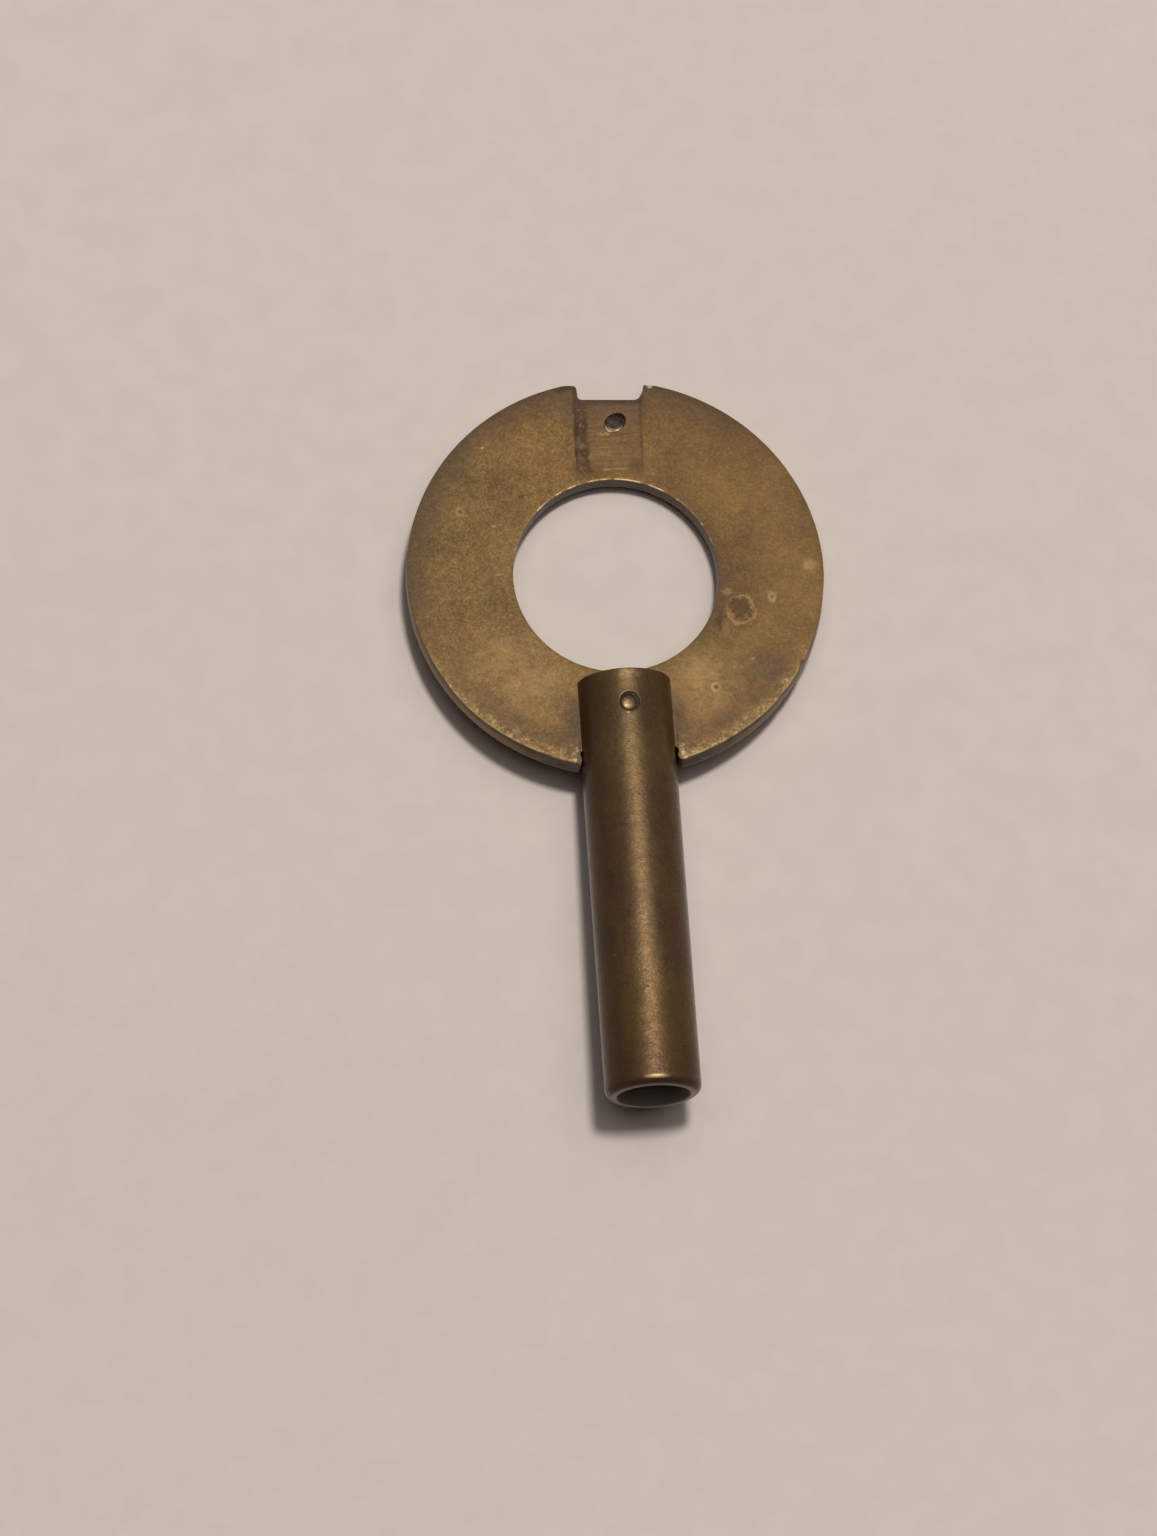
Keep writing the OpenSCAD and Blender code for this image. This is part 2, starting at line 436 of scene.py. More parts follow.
@dataclass
class BowPlate(Piece):
    """Ring bow with its notches, seats and holes. Plane coordinates are about the bow's centre.

    A nick is its clockwise angle from +Y in degrees, its half width in radians and its depth. The rim's lean
    is given for its lower and its upper part, and wear as a width and a depth.
    """

    rim_r: float = 13.495
    hole_r: float = 6.6
    hole_drop: float = 0.08
    half_t: float = 0.6
    face_z: float = 0.3
    nicks: tuple[Triple, ...] = ((12.7, 0.013, 0.15), (61.2, 0.016, 0.03), (120.0, 0.014, 0.07),
                                 (130.6, 0.018, 0.06))
    rim_lean: Pair = (0.19, 0.015)
    lower_span: Pair = (0.5, -6.0)
    outward_span: Pair = (0.7, 0.98)
    notch_lean: float = 0.012
    hole_edge: float = 0.04
    wall_out: tuple[float, ...] = (0.0, 0.06, 0.15, 0.3, 0.55, 0.8, 1.0, 1.0, 0.85, 0.5, 0.0)
    wall_down: tuple[float, ...] = (0.0, 0.012, 0.06, 0.18, 0.38, 0.58, 0.76, 0.87, 0.95, 0.99, 1.0)
    rim_wear: Pair = (0.6, 0.035)
    hole_wear: Pair = (0.3, 0.035)
    notch_left: float = -3.05
    notch_right: float = 3.12
    notch_floor: float = -12.1
    lobe_cut: float = 0.4
    lobe_rise: float = 0.8
    pipe_seat_depth: float = 0.1
    pipe_seat_half_w: float = 2.92
    pipe_seat_corner: float = 0.25
    pipe_seat_end: float = -7.34
    pipe_seat_step: float = 0.02
    pin_r: float = 0.52
    pin_edge: float = 0.03
    pin_block: float = 1.0
    tear_edge: float = 0.07
    tear_block: float = 1.15
    lump_mean: float = 0.028
    lump_top: float = 0.06
    lump_waves: tuple[Pair, ...] = ((0.022, 1.9), (0.012, 4.5))
    lump_seed: int = 21
    fan: float = math.radians(6.0)
    fine: float = 0.01
    corner_reach: int = 26
    close_half_w: float = 4.3
    close_from: float = 11.0
    close_step: float = 0.075
    rim_step: float = 0.26
    floor_half_w: float = 3.4
    floor_limit: float = 12.4
    hole_side_rows: int = 14
    hole_side_end: float = 0.93
    seat_rows: int = 30
    seat_rows_end: float = 0.84
    rim_rows: int = 12
    rim_rows_start: float = 0.855
    hole_rows: int = 11

    def __post_init__(self) -> None:
        """Makes the empty seat that the plate carries."""
        self.seat = EmptySeat()

    def rim_radius(self, angle: Array) -> Array:
        """Radius of the rim.

        Args:
            angle: clockwise angles from +Y.

        Returns:
            The plain radius less the nicks, each a bell curve of the angle.
        """
        degrees, widths, depths = np.array(self.nicks).T
        dents = depths * np.exp(-((angle[..., None] - np.radians(degrees)) / widths) ** 2)
        return self.rim_r - dents.sum(-1)

    def on_rim(self, x: float, side: float) -> Array:
        """Point of the plain rim at a coordinate x, on its upper side, 1, or its lower side, -1."""
        return np.array([x, side * math.sqrt(self.rim_r ** 2 - x * x)])

    def stretch(self, start: Array | float, end: Array | float) -> tuple[Array, Array]:
        """Evenly spaced points of one stretch of the outline, without its end.

        Args:
            start: first point of a straight stretch, or first clockwise angle of a stretch of the rim.
            end: its last point or angle.

        Returns:
            Each point's share of the way, and the points.
        """
        arc = isinstance(start, float)
        length = self.rim_r * (end - start) if arc else float(np.hypot(*(end - start)))
        share = np.linspace(0.0, 1.0, max(2, round(length / self.fine)), endpoint=False)
        if not arc:
            return share, start + share[:, None] * (end - start)
        angle = start + share * (end - start)
        return share, self.rim_radius(angle)[:, None] * compass(angle)

    def raw_path(self) -> tuple[Array, Array]:
        """Rim, walls and floors as one closed clockwise path.

        Returns:
            Evenly spaced points from the left end of the upper floor on, and for each point the clockwise
            angle on the finger hole that it is joined to.
        """
        seat, fan, half_fan = self.seat, self.fan, self.fan / 2
        left, right, knee = np.array(seat.floor_left), np.array(seat.floor_right), np.array(seat.knee)
        tip_x = seat.rim_left - seat.tip_cut[0]
        tip = self.on_rim(seat.rim_left, 1.0) - np.array([0.0, seat.tip_cut[1]])
        lobe_x = self.notch_right + self.lobe_cut
        lobe = self.on_rim(self.notch_right, -1.0) + np.array([0.0, self.lobe_rise * self.lobe_cut])
        low_right = np.array([self.notch_right, self.notch_floor])
        low_left = np.array([self.notch_left, self.notch_floor])
        stretches = [
            (left, right),
            (right, knee),
            (knee, self.on_rim(seat.rim_right, 1.0)),
            (bearing(seat.rim_right, self.rim_r), math.pi - bearing(lobe_x, self.rim_r)),
            (self.on_rim(lobe_x, -1.0), lobe),
            (lobe, low_right),
            (low_right, low_left),
            (low_left, self.on_rim(self.notch_left, -1.0)),
            (math.pi - bearing(self.notch_left, self.rim_r), math.tau + bearing(tip_x, self.rim_r)),
            (self.on_rim(tip_x, 1.0), tip),
            (tip, left),
        ]
        first, over_r = bearing(left[0], self.hole_r), bearing(right[0], self.hole_r)
        under_r = math.pi - bearing(self.notch_right, self.hole_r)
        under_l = math.pi - bearing(self.notch_left, self.hole_r)
        last = math.tau + first
        facings = [first, over_r, over_r + half_fan, over_r + fan, under_r - fan, under_r - half_fan, under_r,
                   under_l, under_l + fan, last - fan, last - half_fan, last]
        points, angles = [], []
        for (start, end), (facing, next_facing) in zip(stretches, pairwise(facings)):
            share, run = self.stretch(start, end)
            points.append(run)
            angles.append(facing + share * (next_facing - facing))
        return np.concatenate(points), np.concatenate(angles)

    def lean(self, path: Array, normal: Array) -> Array:
        """How far the wall leans out at outline points: most beside the pipe, least in the notches.

        Args:
            path: points of the outline.
            normal: their outward normals.

        Returns:
            The rim's lean where the normal points away from the bow's centre, and the notch's elsewhere.
        """
        lower, upper = self.rim_lean
        y = path[:, 1]
        rim = upper + (lower - upper) * ease(*self.lower_span, y) + JOINT_LEAN * ease(*JOINT_SPAN, y)
        outward = (path * normal).sum(-1) / np.hypot(path[:, 0], y)
        return self.notch_lean + (rim - self.notch_lean) * ease(*self.outward_span, outward)

    def columns(self) -> tuple[Array, Array, Array, Array]:
        """Outline points that the grid's columns end at, close together at the notches.

        Returns:
            Points of the softened outline, their outward normals, how far the wall leans out below them, and
            their angles on the finger hole.
        """
        raw, facing = self.raw_path()
        path = soften(raw, self.corner_reach)
        along = np.roll(path, -1, axis=0) - np.roll(path, 1, axis=0)
        normal = np.stack([-along[:, 1], along[:, 0]], axis=1) / np.hypot(along[:, 0], along[:, 1])[:, None]
        lean = soften(self.lean(path, normal)[:, None], 2 * self.corner_reach)[:, 0]
        near = (np.abs(path[:, 0]) < self.close_half_w) & (np.abs(path[:, 1]) > self.close_from)
        pace = np.cumsum(self.fine / np.where(near, self.close_step, self.rim_step))
        count = round(pace[-1])
        pick = np.searchsorted(pace, np.arange(count) / count * pace[-1])
        return path[pick], normal[pick], lean[pick], facing[pick]

    def plan(self, outer: Array, inner: Array) -> Array:
        """Grid of plane points between the finger hole's edge and the outline.

        Args:
            outer: ends of the columns at the outline.
            inner: their starts at the finger hole.

        Returns:
            Straight columns, with rows drawn together where the seats end, of shape (rows, columns, 2).
        """
        side, height = np.abs(outer).T
        seat_y = np.where(outer[:, 1] > 0.0, self.seat.seat_end, self.pipe_seat_end)
        floors = (height < self.floor_limit) & (side < self.floor_half_w) & (height > self.close_from)
        share = (seat_y - inner[:, 1]) / (outer[:, 1] - inner[:, 1])
        where = np.arange(len(outer))
        share = np.interp(where, where[floors], share[floors], period=len(outer))[None, :]
        before = np.linspace(0.0, self.hole_side_end, self.hole_side_rows)[:, None]
        after = np.concatenate([np.linspace(0.0, self.seat_rows_end, self.seat_rows),
                                np.linspace(self.rim_rows_start, 1.0, self.rim_rows)])[:, None]
        t = np.concatenate([before * share, share + after * (1.0 - share)])[..., None]
        return inner + t * (outer - inner)

    def pipe_seat_gap(self, x: Array, y: Array) -> Array:
        """Distance to the round-cornered edge of the winding pipe's seat.

        Args:
            x: coordinate across the seat.
            y: coordinate along the seat.

        Returns:
            Signed distance to a box with round corners that is open towards the rim, below zero inside.
        """
        r = self.pipe_seat_corner
        qx, qy = np.abs(x) - self.pipe_seat_half_w + r, y - self.pipe_seat_end + r
        outside = np.hypot(np.maximum(qx, 0.0), np.maximum(qy, 0.0))
        return outside + np.minimum(np.maximum(qx, qy), 0.0) - r

    def worn_down(self, gap: Array, wear: Pair) -> Array:
        """Drop of a face that rolls off as a parabola towards an edge.

        Args:
            gap: distance to the edge.
            wear: width of the roll-off and its depth at the edge.

        Returns:
            Depth times the square of the share of the width that is left.
        """
        width, depth = wear
        return depth * np.clip(1.0 - gap / width, 0.0, 1.0) ** 2

    def back(self, plan: Array) -> Array:
        """Height of a plain face of the plate above its middle.

        Args:
            plan: points in the plane.

        Returns:
            Half the thickness, less both filed seats and the roll-off at the rim and at the finger hole.
        """
        x, y = plan[..., 0], plan[..., 1]
        step = self.pipe_seat_step
        filed = np.maximum(self.seat.seat_depth * self.seat.filed(x, y),
                           self.pipe_seat_depth * ease(step, -step, self.pipe_seat_gap(x, y)))
        rim = self.worn_down(self.rim_r - np.hypot(x, y), self.rim_wear)
        hole = self.worn_down(np.hypot(x, y + self.hole_drop) - self.hole_r, self.hole_wear)
        return self.half_t - np.maximum(filed, rim + hole)

    def face(self, plan: Array) -> Array:
        """Height of the upper face above the plate's middle.

        Args:
            plan: points in the plane.

        Returns:
            The plain face's height plus ripples of old solder where the empty seat has its crust.
        """
        x, y = plan[..., 0], plan[..., 1]
        lumps = self.lump_mean + ripples(x, y, self.lump_waves, self.lump_seed)
        return self.back(plan) + self.seat.crust(x, y) * np.clip(lumps, 0.0, self.lump_top)

    def edge(self, border: Array, normal: Array, width: Array) -> Array:
        """Wall from the border of the upper face to that of the lower one.

        Args:
            border: plane points of the faces' border.
            normal: directions from the border to the wall.
            width: how far the wall leans out below each point.

        Returns:
            Grid of a sharp upper edge, a wall that leans out as it goes down, and a rounded lower edge.
        """
        out = np.array(self.wall_out)[:, None] * width
        share = np.array(self.wall_down)[:, None]
        top, low = self.face(border), -self.back(border)
        return lift(border + out[..., None] * normal, top + share * (low - top))

    def pin_radius(self, angle: Array) -> Array:
        """Radius of the cross pin's round hole at each angle."""
        return np.full_like(angle, self.pin_r)

    def hole(self, plan: Array, block: Block, centre: Array, radius: Measure, edge_r: float) -> Array:
        """Surface from a block of the upper face through a hole to the same block of the lower face.

        Args:
            plan: grid of plane points.
            block: block of the grid that the hole takes out.
            centre: middle of the hole.
            radius: rule for the hole's radius at an angle.
            edge_r: rounding of the hole's edges.

        Returns:
            Grid whose rows run from the block's border to the hole's edge, down its wall and back out.
        """
        loop = block_loop(plan, block)
        angle, ray = rays_to(loop, centre)
        rim = centre + (radius(angle) + edge_r)[:, None] * ray
        flat = loop + np.linspace(0.0, 1.0, self.hole_rows)[:, None, None] * (rim - loop)
        rolled, drop = curl(rim, ray, edge_r)
        upper = np.concatenate([lift(flat, self.face(flat)), lift(rolled, self.face(rim) - drop)])
        lower = np.concatenate([lift(flat, -self.back(flat)), lift(rolled, drop - self.back(rim))])
        return close(np.concatenate([upper, lower[::-1]]))

    def about_centre(self, points: Array) -> tuple[Array, Array]:
        """Plane coordinates of the key's points about the bow's centre."""
        return points[:, 0], points[:, 1] - BOW_Y

    def rim_gap(self, points: Array) -> Array:
        """Distance to the rim or to the nearest notch.

        Args:
            points: points of the key.

        Returns:
            The least of the distances to the rim's circle and to both notches, taken as open boxes.
        """
        x, y = self.about_centre(points)
        side = np.maximum(x - self.notch_right, self.notch_left - x)
        low = np.hypot(np.maximum(side, 0.0), np.maximum(y - self.notch_floor, 0.0))
        return np.minimum(self.rim_r - np.hypot(x, y), np.minimum(low, self.seat.notch_gap(x, y)))

    def hole_gap(self, points: Array) -> Array:
        """Distance of the key's points to the finger hole's wall."""
        x, y = self.about_centre(points)
        return np.hypot(x, y + self.hole_drop) - self.hole_r

    def filed(self, points: Array) -> Array:
        """Filed share of the empty seat at the key's points, on the upper face alone."""
        return self.seat.filed(*self.about_centre(points)) * (points[:, 2] > self.face_z)

    def crust(self, points: Array) -> Array:
        """Share of crust on the empty seat at the key's points, on the upper face alone."""
        return self.seat.crust(*self.about_centre(points)) * (points[:, 2] > self.face_z)

    def build(self) -> bpy.types.Object:
        """Makes the bow's mesh.

        Returns:
            The bow, with its distances to the rim and the hole and the empty seat's shares as attributes.
        """
        path, normal, lean, facing = self.columns()
        ray = compass(facing)
        inner = (self.hole_r + self.hole_edge) * ray + np.array([0.0, -self.hole_drop])
        outer = path - lean[:, None] * normal
        plan = close(self.plan(outer, inner))
        tear, pin = np.array(TEAR), np.array([0.0, PIN_Y - BOW_Y])
        torn_block = block_round(plan, tear, self.tear_block)
        pin_block = block_round(plan, pin, self.pin_block)
        blocks = [torn_block, pin_block]
        grids = [
            (lift(plan, self.face(plan)), blocks),
            (lift(plan, -self.back(plan)), blocks),
            (close(self.edge(outer, normal, lean)), []),
            (close(self.edge(inner, -ray, np.full(len(ray), self.hole_edge))), []),
            (self.hole(plan, torn_block, tear, self.seat.tear_radius, self.tear_edge), []),
            (self.hole(plan, pin_block, pin, self.pin_radius, self.pin_edge), []),
        ]
        shell = Shell()
        for grid, gaps in grids:
            shell.add(grid + np.array([0.0, BOW_Y, 0.0]), gaps)
        return shell.build("bow_plate", {
            "rim_gap": self.rim_gap,
            "hole_gap": self.hole_gap,
            "filed": self.filed,
            "crust": self.crust,
        })


@dataclass
class WindingPipe(Piece):
    """Pipe with a round mouth, a pocket for the square bush and a slotted heel, along +Y."""

    r: float = 3.0477
    length: float = 27.55
    mouth_r: float = 2.2978
    mouth_len: float = 4.0
    mouth_round: float = 0.58
    mouth_ridge: float = 0.75
    lip_round: float = 0.1
    pocket_r: float = 2.1178
    pocket_end: float = 13.0
    pocket_ring: float = 1.2
    heel_round: float = 0.1
    slot_y: float = 22.8
    slot_half: float = 0.52
    pin_r: float = 0.52
    sink: Pair = (0.05, 25.27)
    sink_r: float = 0.63
    sink_floor: float = 2.9
    sink_least: float = 0.02
    sink_edge: float = 0.06
    sink_foot: float = 0.01
    sink_fillet: float = 0.05
    sink_block: float = 1.15
    bore_span: Pair = (3.6, 0.4)
    bore_rows: int = 8
    lip_rows: int = 5
    mouth_rows: int = 11
    wall_start: float = 0.8
    wall_rows: int = 56
    cheek_rows: int = 30
    heel_rows: int = 8
    end_rows: int = 9
    hole_rows: int = 8
    cheek_columns: int = 96
    side_columns: int = 10

    def arc_run(self, centre: Pair, radius: float, start: float, end: float, count: int) -> Array:
        """Points of an arc in the section, between two angles in degrees, as radius and length."""
        return np.array(centre) + radius * polar(np.radians(np.linspace(start, end, count)))

    def straight_run(self, radius: float, lengths: Array) -> Array:
        """Points of a straight wall in the section, as radius and length."""
        return np.stack([np.full(len(lengths), radius), lengths], axis=1)

    def section(self) -> Array:
        """Half section from the pocket's floor out round the mouth to the slot's floor.

        Returns:
            Radius and length along the pipe of each point.
        """
        mouth = (self.r - self.mouth_round, self.mouth_round)
        lip = (self.mouth_r + self.lip_round, self.lip_round)
        halfway = (self.pocket_end + self.mouth_len) / 2.0
        pocket = np.array([[0.0, self.pocket_end], [self.pocket_ring, self.pocket_end],
                           [self.pocket_r, self.pocket_end], [self.pocket_r, halfway],
                           [self.pocket_r, self.mouth_len], [self.mouth_r, self.mouth_len]])
        return np.concatenate([
            pocket,
            self.straight_run(self.mouth_r, np.linspace(*self.bore_span, self.bore_rows)),
            self.arc_run(lip, self.lip_round, 180.0, 270.0, self.lip_rows),
            self.arc_run(mouth, self.mouth_round, 270.0, 360.0, self.mouth_rows),
            self.straight_run(self.r, np.linspace(self.wall_start, self.slot_y, self.wall_rows)),
        ])

    def cheek_section(self) -> Array:
        """Half section of a cheek from the slot's floor to the heel's rounded end.

        Returns:
            Radius and length along the pipe of each point.
        """
        heel = (self.r - self.heel_round, self.length - self.heel_round)
        lengths = np.linspace(self.slot_y, heel[1], self.cheek_rows, endpoint=False)
        return np.concatenate([self.straight_run(self.r, lengths),
                               self.arc_run(heel, self.heel_round, 0.0, 90.0, self.heel_rows)])

    def turned(self, section: Array, angle: Array) -> Array:
        """Section turned about the pipe's axis.

        Args:
            section: radius and length of each row.
            angle: angles of the columns from +X, for all rows or for each row.

        Returns:
            Grid of radius times cosine, length, and radius times sine.
        """
        across = section[:, :1] * np.cos(angle)
        along = np.broadcast_to(section[:, 1:], across.shape)
        return np.stack([across, along, section[:, :1] * np.sin(angle)], axis=-1)

    def ring(self) -> Array:
        """Angles of the columns round the whole pipe.

        Returns:
            Angles from one edge of the slot once round to it, with columns on all four edges.
        """
        slot = math.asin(self.slot_half / self.r)
        side = np.linspace(-slot, slot, self.side_columns, endpoint=False)
        cheek = np.linspace(slot, math.pi - slot, self.cheek_columns, endpoint=False)
        return np.concatenate([side, cheek, side + math.pi, cheek + math.pi, [math.tau - slot]])

    def cheek(self) -> tuple[Array, Array]:
        """Outer face and slot face of the upper cheek.

        Returns:
            Two grids with the same rows and columns: the round face, whose columns spread between the slot's
            edges, and the flat face under it.
        """
        section = self.cheek_section()
        radius = section[:, :1]
        slot = np.arcsin(self.slot_half / radius)
        share = np.linspace(0.0, 1.0, self.cheek_columns + 1)[None, :]
        outer = self.turned(section, slot + share * (math.pi - 2.0 * slot))
        across = radius * np.cos(slot) * (1.0 - 2.0 * share)
        flat = np.stack([across, outer[..., 1], np.full_like(across, self.slot_half)], axis=-1)
        return outer, flat

    def heel(self, outer: Array, flat: Array) -> Array:
        """End face of a cheek, ruled from the last arc to the last chord."""
        share = np.linspace(0.0, 1.0, self.end_rows)[:, None, None]
        return outer[-1] + share * (flat[-1] - outer[-1])

    def slot_floor(self) -> Array:
        """Floor of the slot.

        Returns:
            Grid of straight rows between the two arcs of the pipe's wall.
        """
        slot = math.asin(self.slot_half / self.r)
        angle = np.linspace(-slot, slot, self.side_columns + 1)[:, None]
        share = np.linspace(0.0, 1.0, self.cheek_columns + 1)[None, :]
        across = self.r * np.cos(angle) * (1.0 - 2.0 * share)
        up = np.broadcast_to(self.r * np.sin(angle), across.shape)
        return np.stack([across, np.full_like(across, self.slot_y), up], axis=-1)

    def wall_z(self, plan: Array) -> Array:
        """Height of the pipe's round wall over plane points, z = sqrt(r^2 - x^2)."""
        return np.sqrt(self.r ** 2 - plan[..., 0] ** 2)

    def pin_hole(self, outer: Array, flat: Array, block: Block) -> Array:
        """Surface from the cheek's round face into the sunk ring, down the pin's hole and to the slot face.

        Args:
            outer: grid of the round face.
            flat: grid of the slot face.
            block: block that the hole takes out of both grids.

        Returns:
            Grid of rings: on the pipe's wall, then the ring's edge, wall and floor, then the pin's hole and
            the flat slot face.
        """
        loop, base = block_loop(outer, block)[:, :2], block_loop(flat, block)[:, :2]
        sink, pin = np.array(self.sink), np.array([0.0, PIN_Y])
        _, ray = rays_to(loop, sink)
        rim = sink + (self.sink_r + self.sink_edge) * ray
        share = np.linspace(0.0, 1.0, self.hole_rows)[:, None, None]
        skin = loop + share * (rim - loop)
        rolled, drop = curl(rim, ray, self.sink_edge)
        rolled_z = self.wall_z(rim) - drop
        floor_z = np.minimum(self.sink_floor, rolled_z[-1] - self.sink_least)
        foot = sink + (self.sink_r - self.sink_foot) * ray
        fillet = sink + (self.sink_r - self.sink_fillet) * ray
        bore = pin + self.pin_r * ray
        return close(np.concatenate([
            lift(skin, self.wall_z(skin)),
            lift(rolled, rolled_z),
            lift(foot, floor_z + self.sink_foot)[None],
            lift(fillet, floor_z)[None],
            lift(bore, floor_z)[None],
            lift(bore, self.slot_half)[None],
            lift(bore + share[1:] * (base - bore), self.slot_half),
        ]))

    def mouth_gap(self, points: Array) -> Array:
        """Distance along the pipe from the ridge where the mouth's rounding starts."""
        return np.abs(points[:, 1] - self.mouth_ridge * self.mouth_round)

    def heel_gap(self, points: Array) -> Array:
        """Distance along the pipe from the heel's end."""
        return self.length - points[:, 1]

    def build(self) -> bpy.types.Object:
        """Makes the pipe's mesh.

        Returns:
            The pipe, closed, with its distances to the mouth's ridge and to the heel as attributes.
        """
        outer, flat = self.cheek()
        block = block_round(outer[..., :2], np.array(self.sink), self.sink_block)
        cheek_grids = [(outer, [block]), (flat, [block]), (self.heel(outer, flat), []),
                       (self.pin_hole(outer, flat, block), [])]
        shell = Shell()
        shell.add(self.turned(self.section(), self.ring()))
        shell.add(self.slot_floor())
        for grid, gaps in cheek_grids:
            shell.add(grid, gaps)
            shell.add(grid * np.array([1.0, 1.0, -1.0]), gaps)
        return shell.build("pipe_shell", {"mouth_gap": self.mouth_gap, "heel_gap": self.heel_gap})


@dataclass
class CrossPin(Piece):
    """Riveted pin through the pipe's cheeks and the bow, with domed ends."""

    r: float = 0.5
    head_r: float = 0.6
    head_shift: Pair = (0.03, 0.05)
    crown_r: float = 1.7
    crown_dip: float = 0.005
    crown_tilt: Pair = (0.14, 0.03)
    shoulder: float = 0.04
    shoulder_power: int = 8
    neck: float = 0.04
    neck_slack: float = 0.01
    top: float = 3.033
    cap_rows: int = 20
    shank_rows: int = 8
    columns: int = 65

    def build(self) -> bpy.types.Object:
        """Makes the pin as a half section turned about its axis.

        Returns:
            The pin, whose heads are flat crowns with round shoulders, a little off the shank's axis. A crown
            falls by the square of the radius and its shoulder by a high power of it.
        """
        reach = self.head_r * np.sin(np.linspace(0.0, math.pi / 2, self.cap_rows))
        shoulder = self.shoulder * (reach / self.head_r) ** self.shoulder_power
        fall = self.crown_dip + reach ** 2 / (2.0 * self.crown_r) + shoulder
        cap = np.stack([reach, self.top - fall], axis=1)
        neck = float(cap[-1, 1]) - self.neck
        shank_z = np.linspace(neck, -neck, self.shank_rows)
        shank = np.stack([np.full_like(shank_z, self.r), shank_z], axis=1)
        section = np.concatenate([cap, shank, cap[::-1] * np.array([1.0, -1.0])])
        angle = np.linspace(0.0, math.tau, self.columns)
        head = (np.abs(section[:, 1:]) > neck + self.neck_slack).astype(float)
        across, along = section[:, :1] * np.cos(angle), section[:, :1] * np.sin(angle)
        up = np.broadcast_to(section[:, 1:], across.shape)
        tilt = (self.crown_tilt[0] * across + self.crown_tilt[1] * along) * head
        x = across + self.head_shift[0] * head
        y = along + self.head_shift[1] * head + PIN_Y
        shell = Shell()
        shell.add(np.stack([x, y, up - tilt * np.sign(up)], axis=-1))
        return shell.build("cross_pin", {"dome": self.dome})

    def dome(self, points: Array) -> Array:
        """Share of the way from the crown's middle to its border."""
        x, y = points[:, 0] - self.head_shift[0], points[:, 1] - PIN_Y - self.head_shift[1]
        return np.hypot(x, y) / self.head_r


@dataclass
class PinStub(Piece):
    """Stub of the missing pipe's pin, broken off in its hole below the seat."""

    r: float = 0.55
    half: float = 0.32
    limit: float = 0.49
    slope: float = math.tan(math.radians(14.0))
    break_waves: tuple[Pair, ...] = ((0.035, 1.6), (0.012, 4.0))
    rough_span: Pair = (-0.5, 0.2)
    shoulder: float = 0.16
    shoulder_r: Pair = (0.33, 0.56)
    shoulder_side: Pair = (0.1, -0.3)
    top_seed: int = 31
    low_seed: int = 41
    rows: int = 18
    columns: int = 73

    def along(self, x: Array, y: Array) -> Array:
        """Distance towards the tear from the stub's axis."""
        return x * math.cos(TEAR_ANGLE) + y * math.sin(TEAR_ANGLE)

    def end(self, x: Array, y: Array, seed: int) -> Array:
        """Height of a broken end above its mean.

        Args:
            x: first coordinate about the stub's axis.
            y: second coordinate about the stub's axis.
            seed: seed of the break's ripples.

        Returns:
            The ripples less a slope towards the tear and a round shoulder on the other side.
        """
        along = self.along(x, y)
        rough = ripples(x, y, self.break_waves, seed)
        shoulder = self.shoulder * ease(*self.shoulder_r, np.hypot(x, y)) * ease(*self.shoulder_side, along)
        return rough * ease(*self.rough_span, along) - self.slope * along - shoulder

    def build(self) -> bpy.types.Object:
        """Makes the stub's mesh.

        Returns:
            The stub: two rough ends on polar grids and the round wall between them.
        """
        angle = np.linspace(0.0, math.tau, self.columns)
        radius = self.r * np.sin(np.linspace(0.0, math.pi / 2, self.rows))[:, None]
        x, y = radius * np.cos(angle), radius * np.sin(angle)
        top = np.minimum(self.half + self.end(x, y, self.top_seed), self.limit)
        low = np.maximum(-self.half + self.end(x, y, self.low_seed), -self.limit)
        upper, lower = (np.stack([x + STUB[0], y + STUB[1], height], axis=-1) for height in (top, low))
        shell = Shell()
        shell.add(upper)
        shell.add(lower)
        shell.add(np.stack([upper[-1], lower[-1]]))
        return shell.build("pin_stub", {"high_side": self.high_side})

    def high_side(self, points: Array) -> Array:
        """How far points lie on the side away from the tear, from -1 to 1."""
        return -self.along(points[:, 0] - STUB[0], points[:, 1] - STUB[1]) / self.r


@dataclass(frozen=True)
class Mottle:
    """Patchy share: noise of so many waves to the millimetre, eased from low to high onto start to end."""

    scale: float
    low: float
    high: float
    start: float = 0.0
    end: float = 1.0
    detail: float = 3.0
    rough: float = 0.55


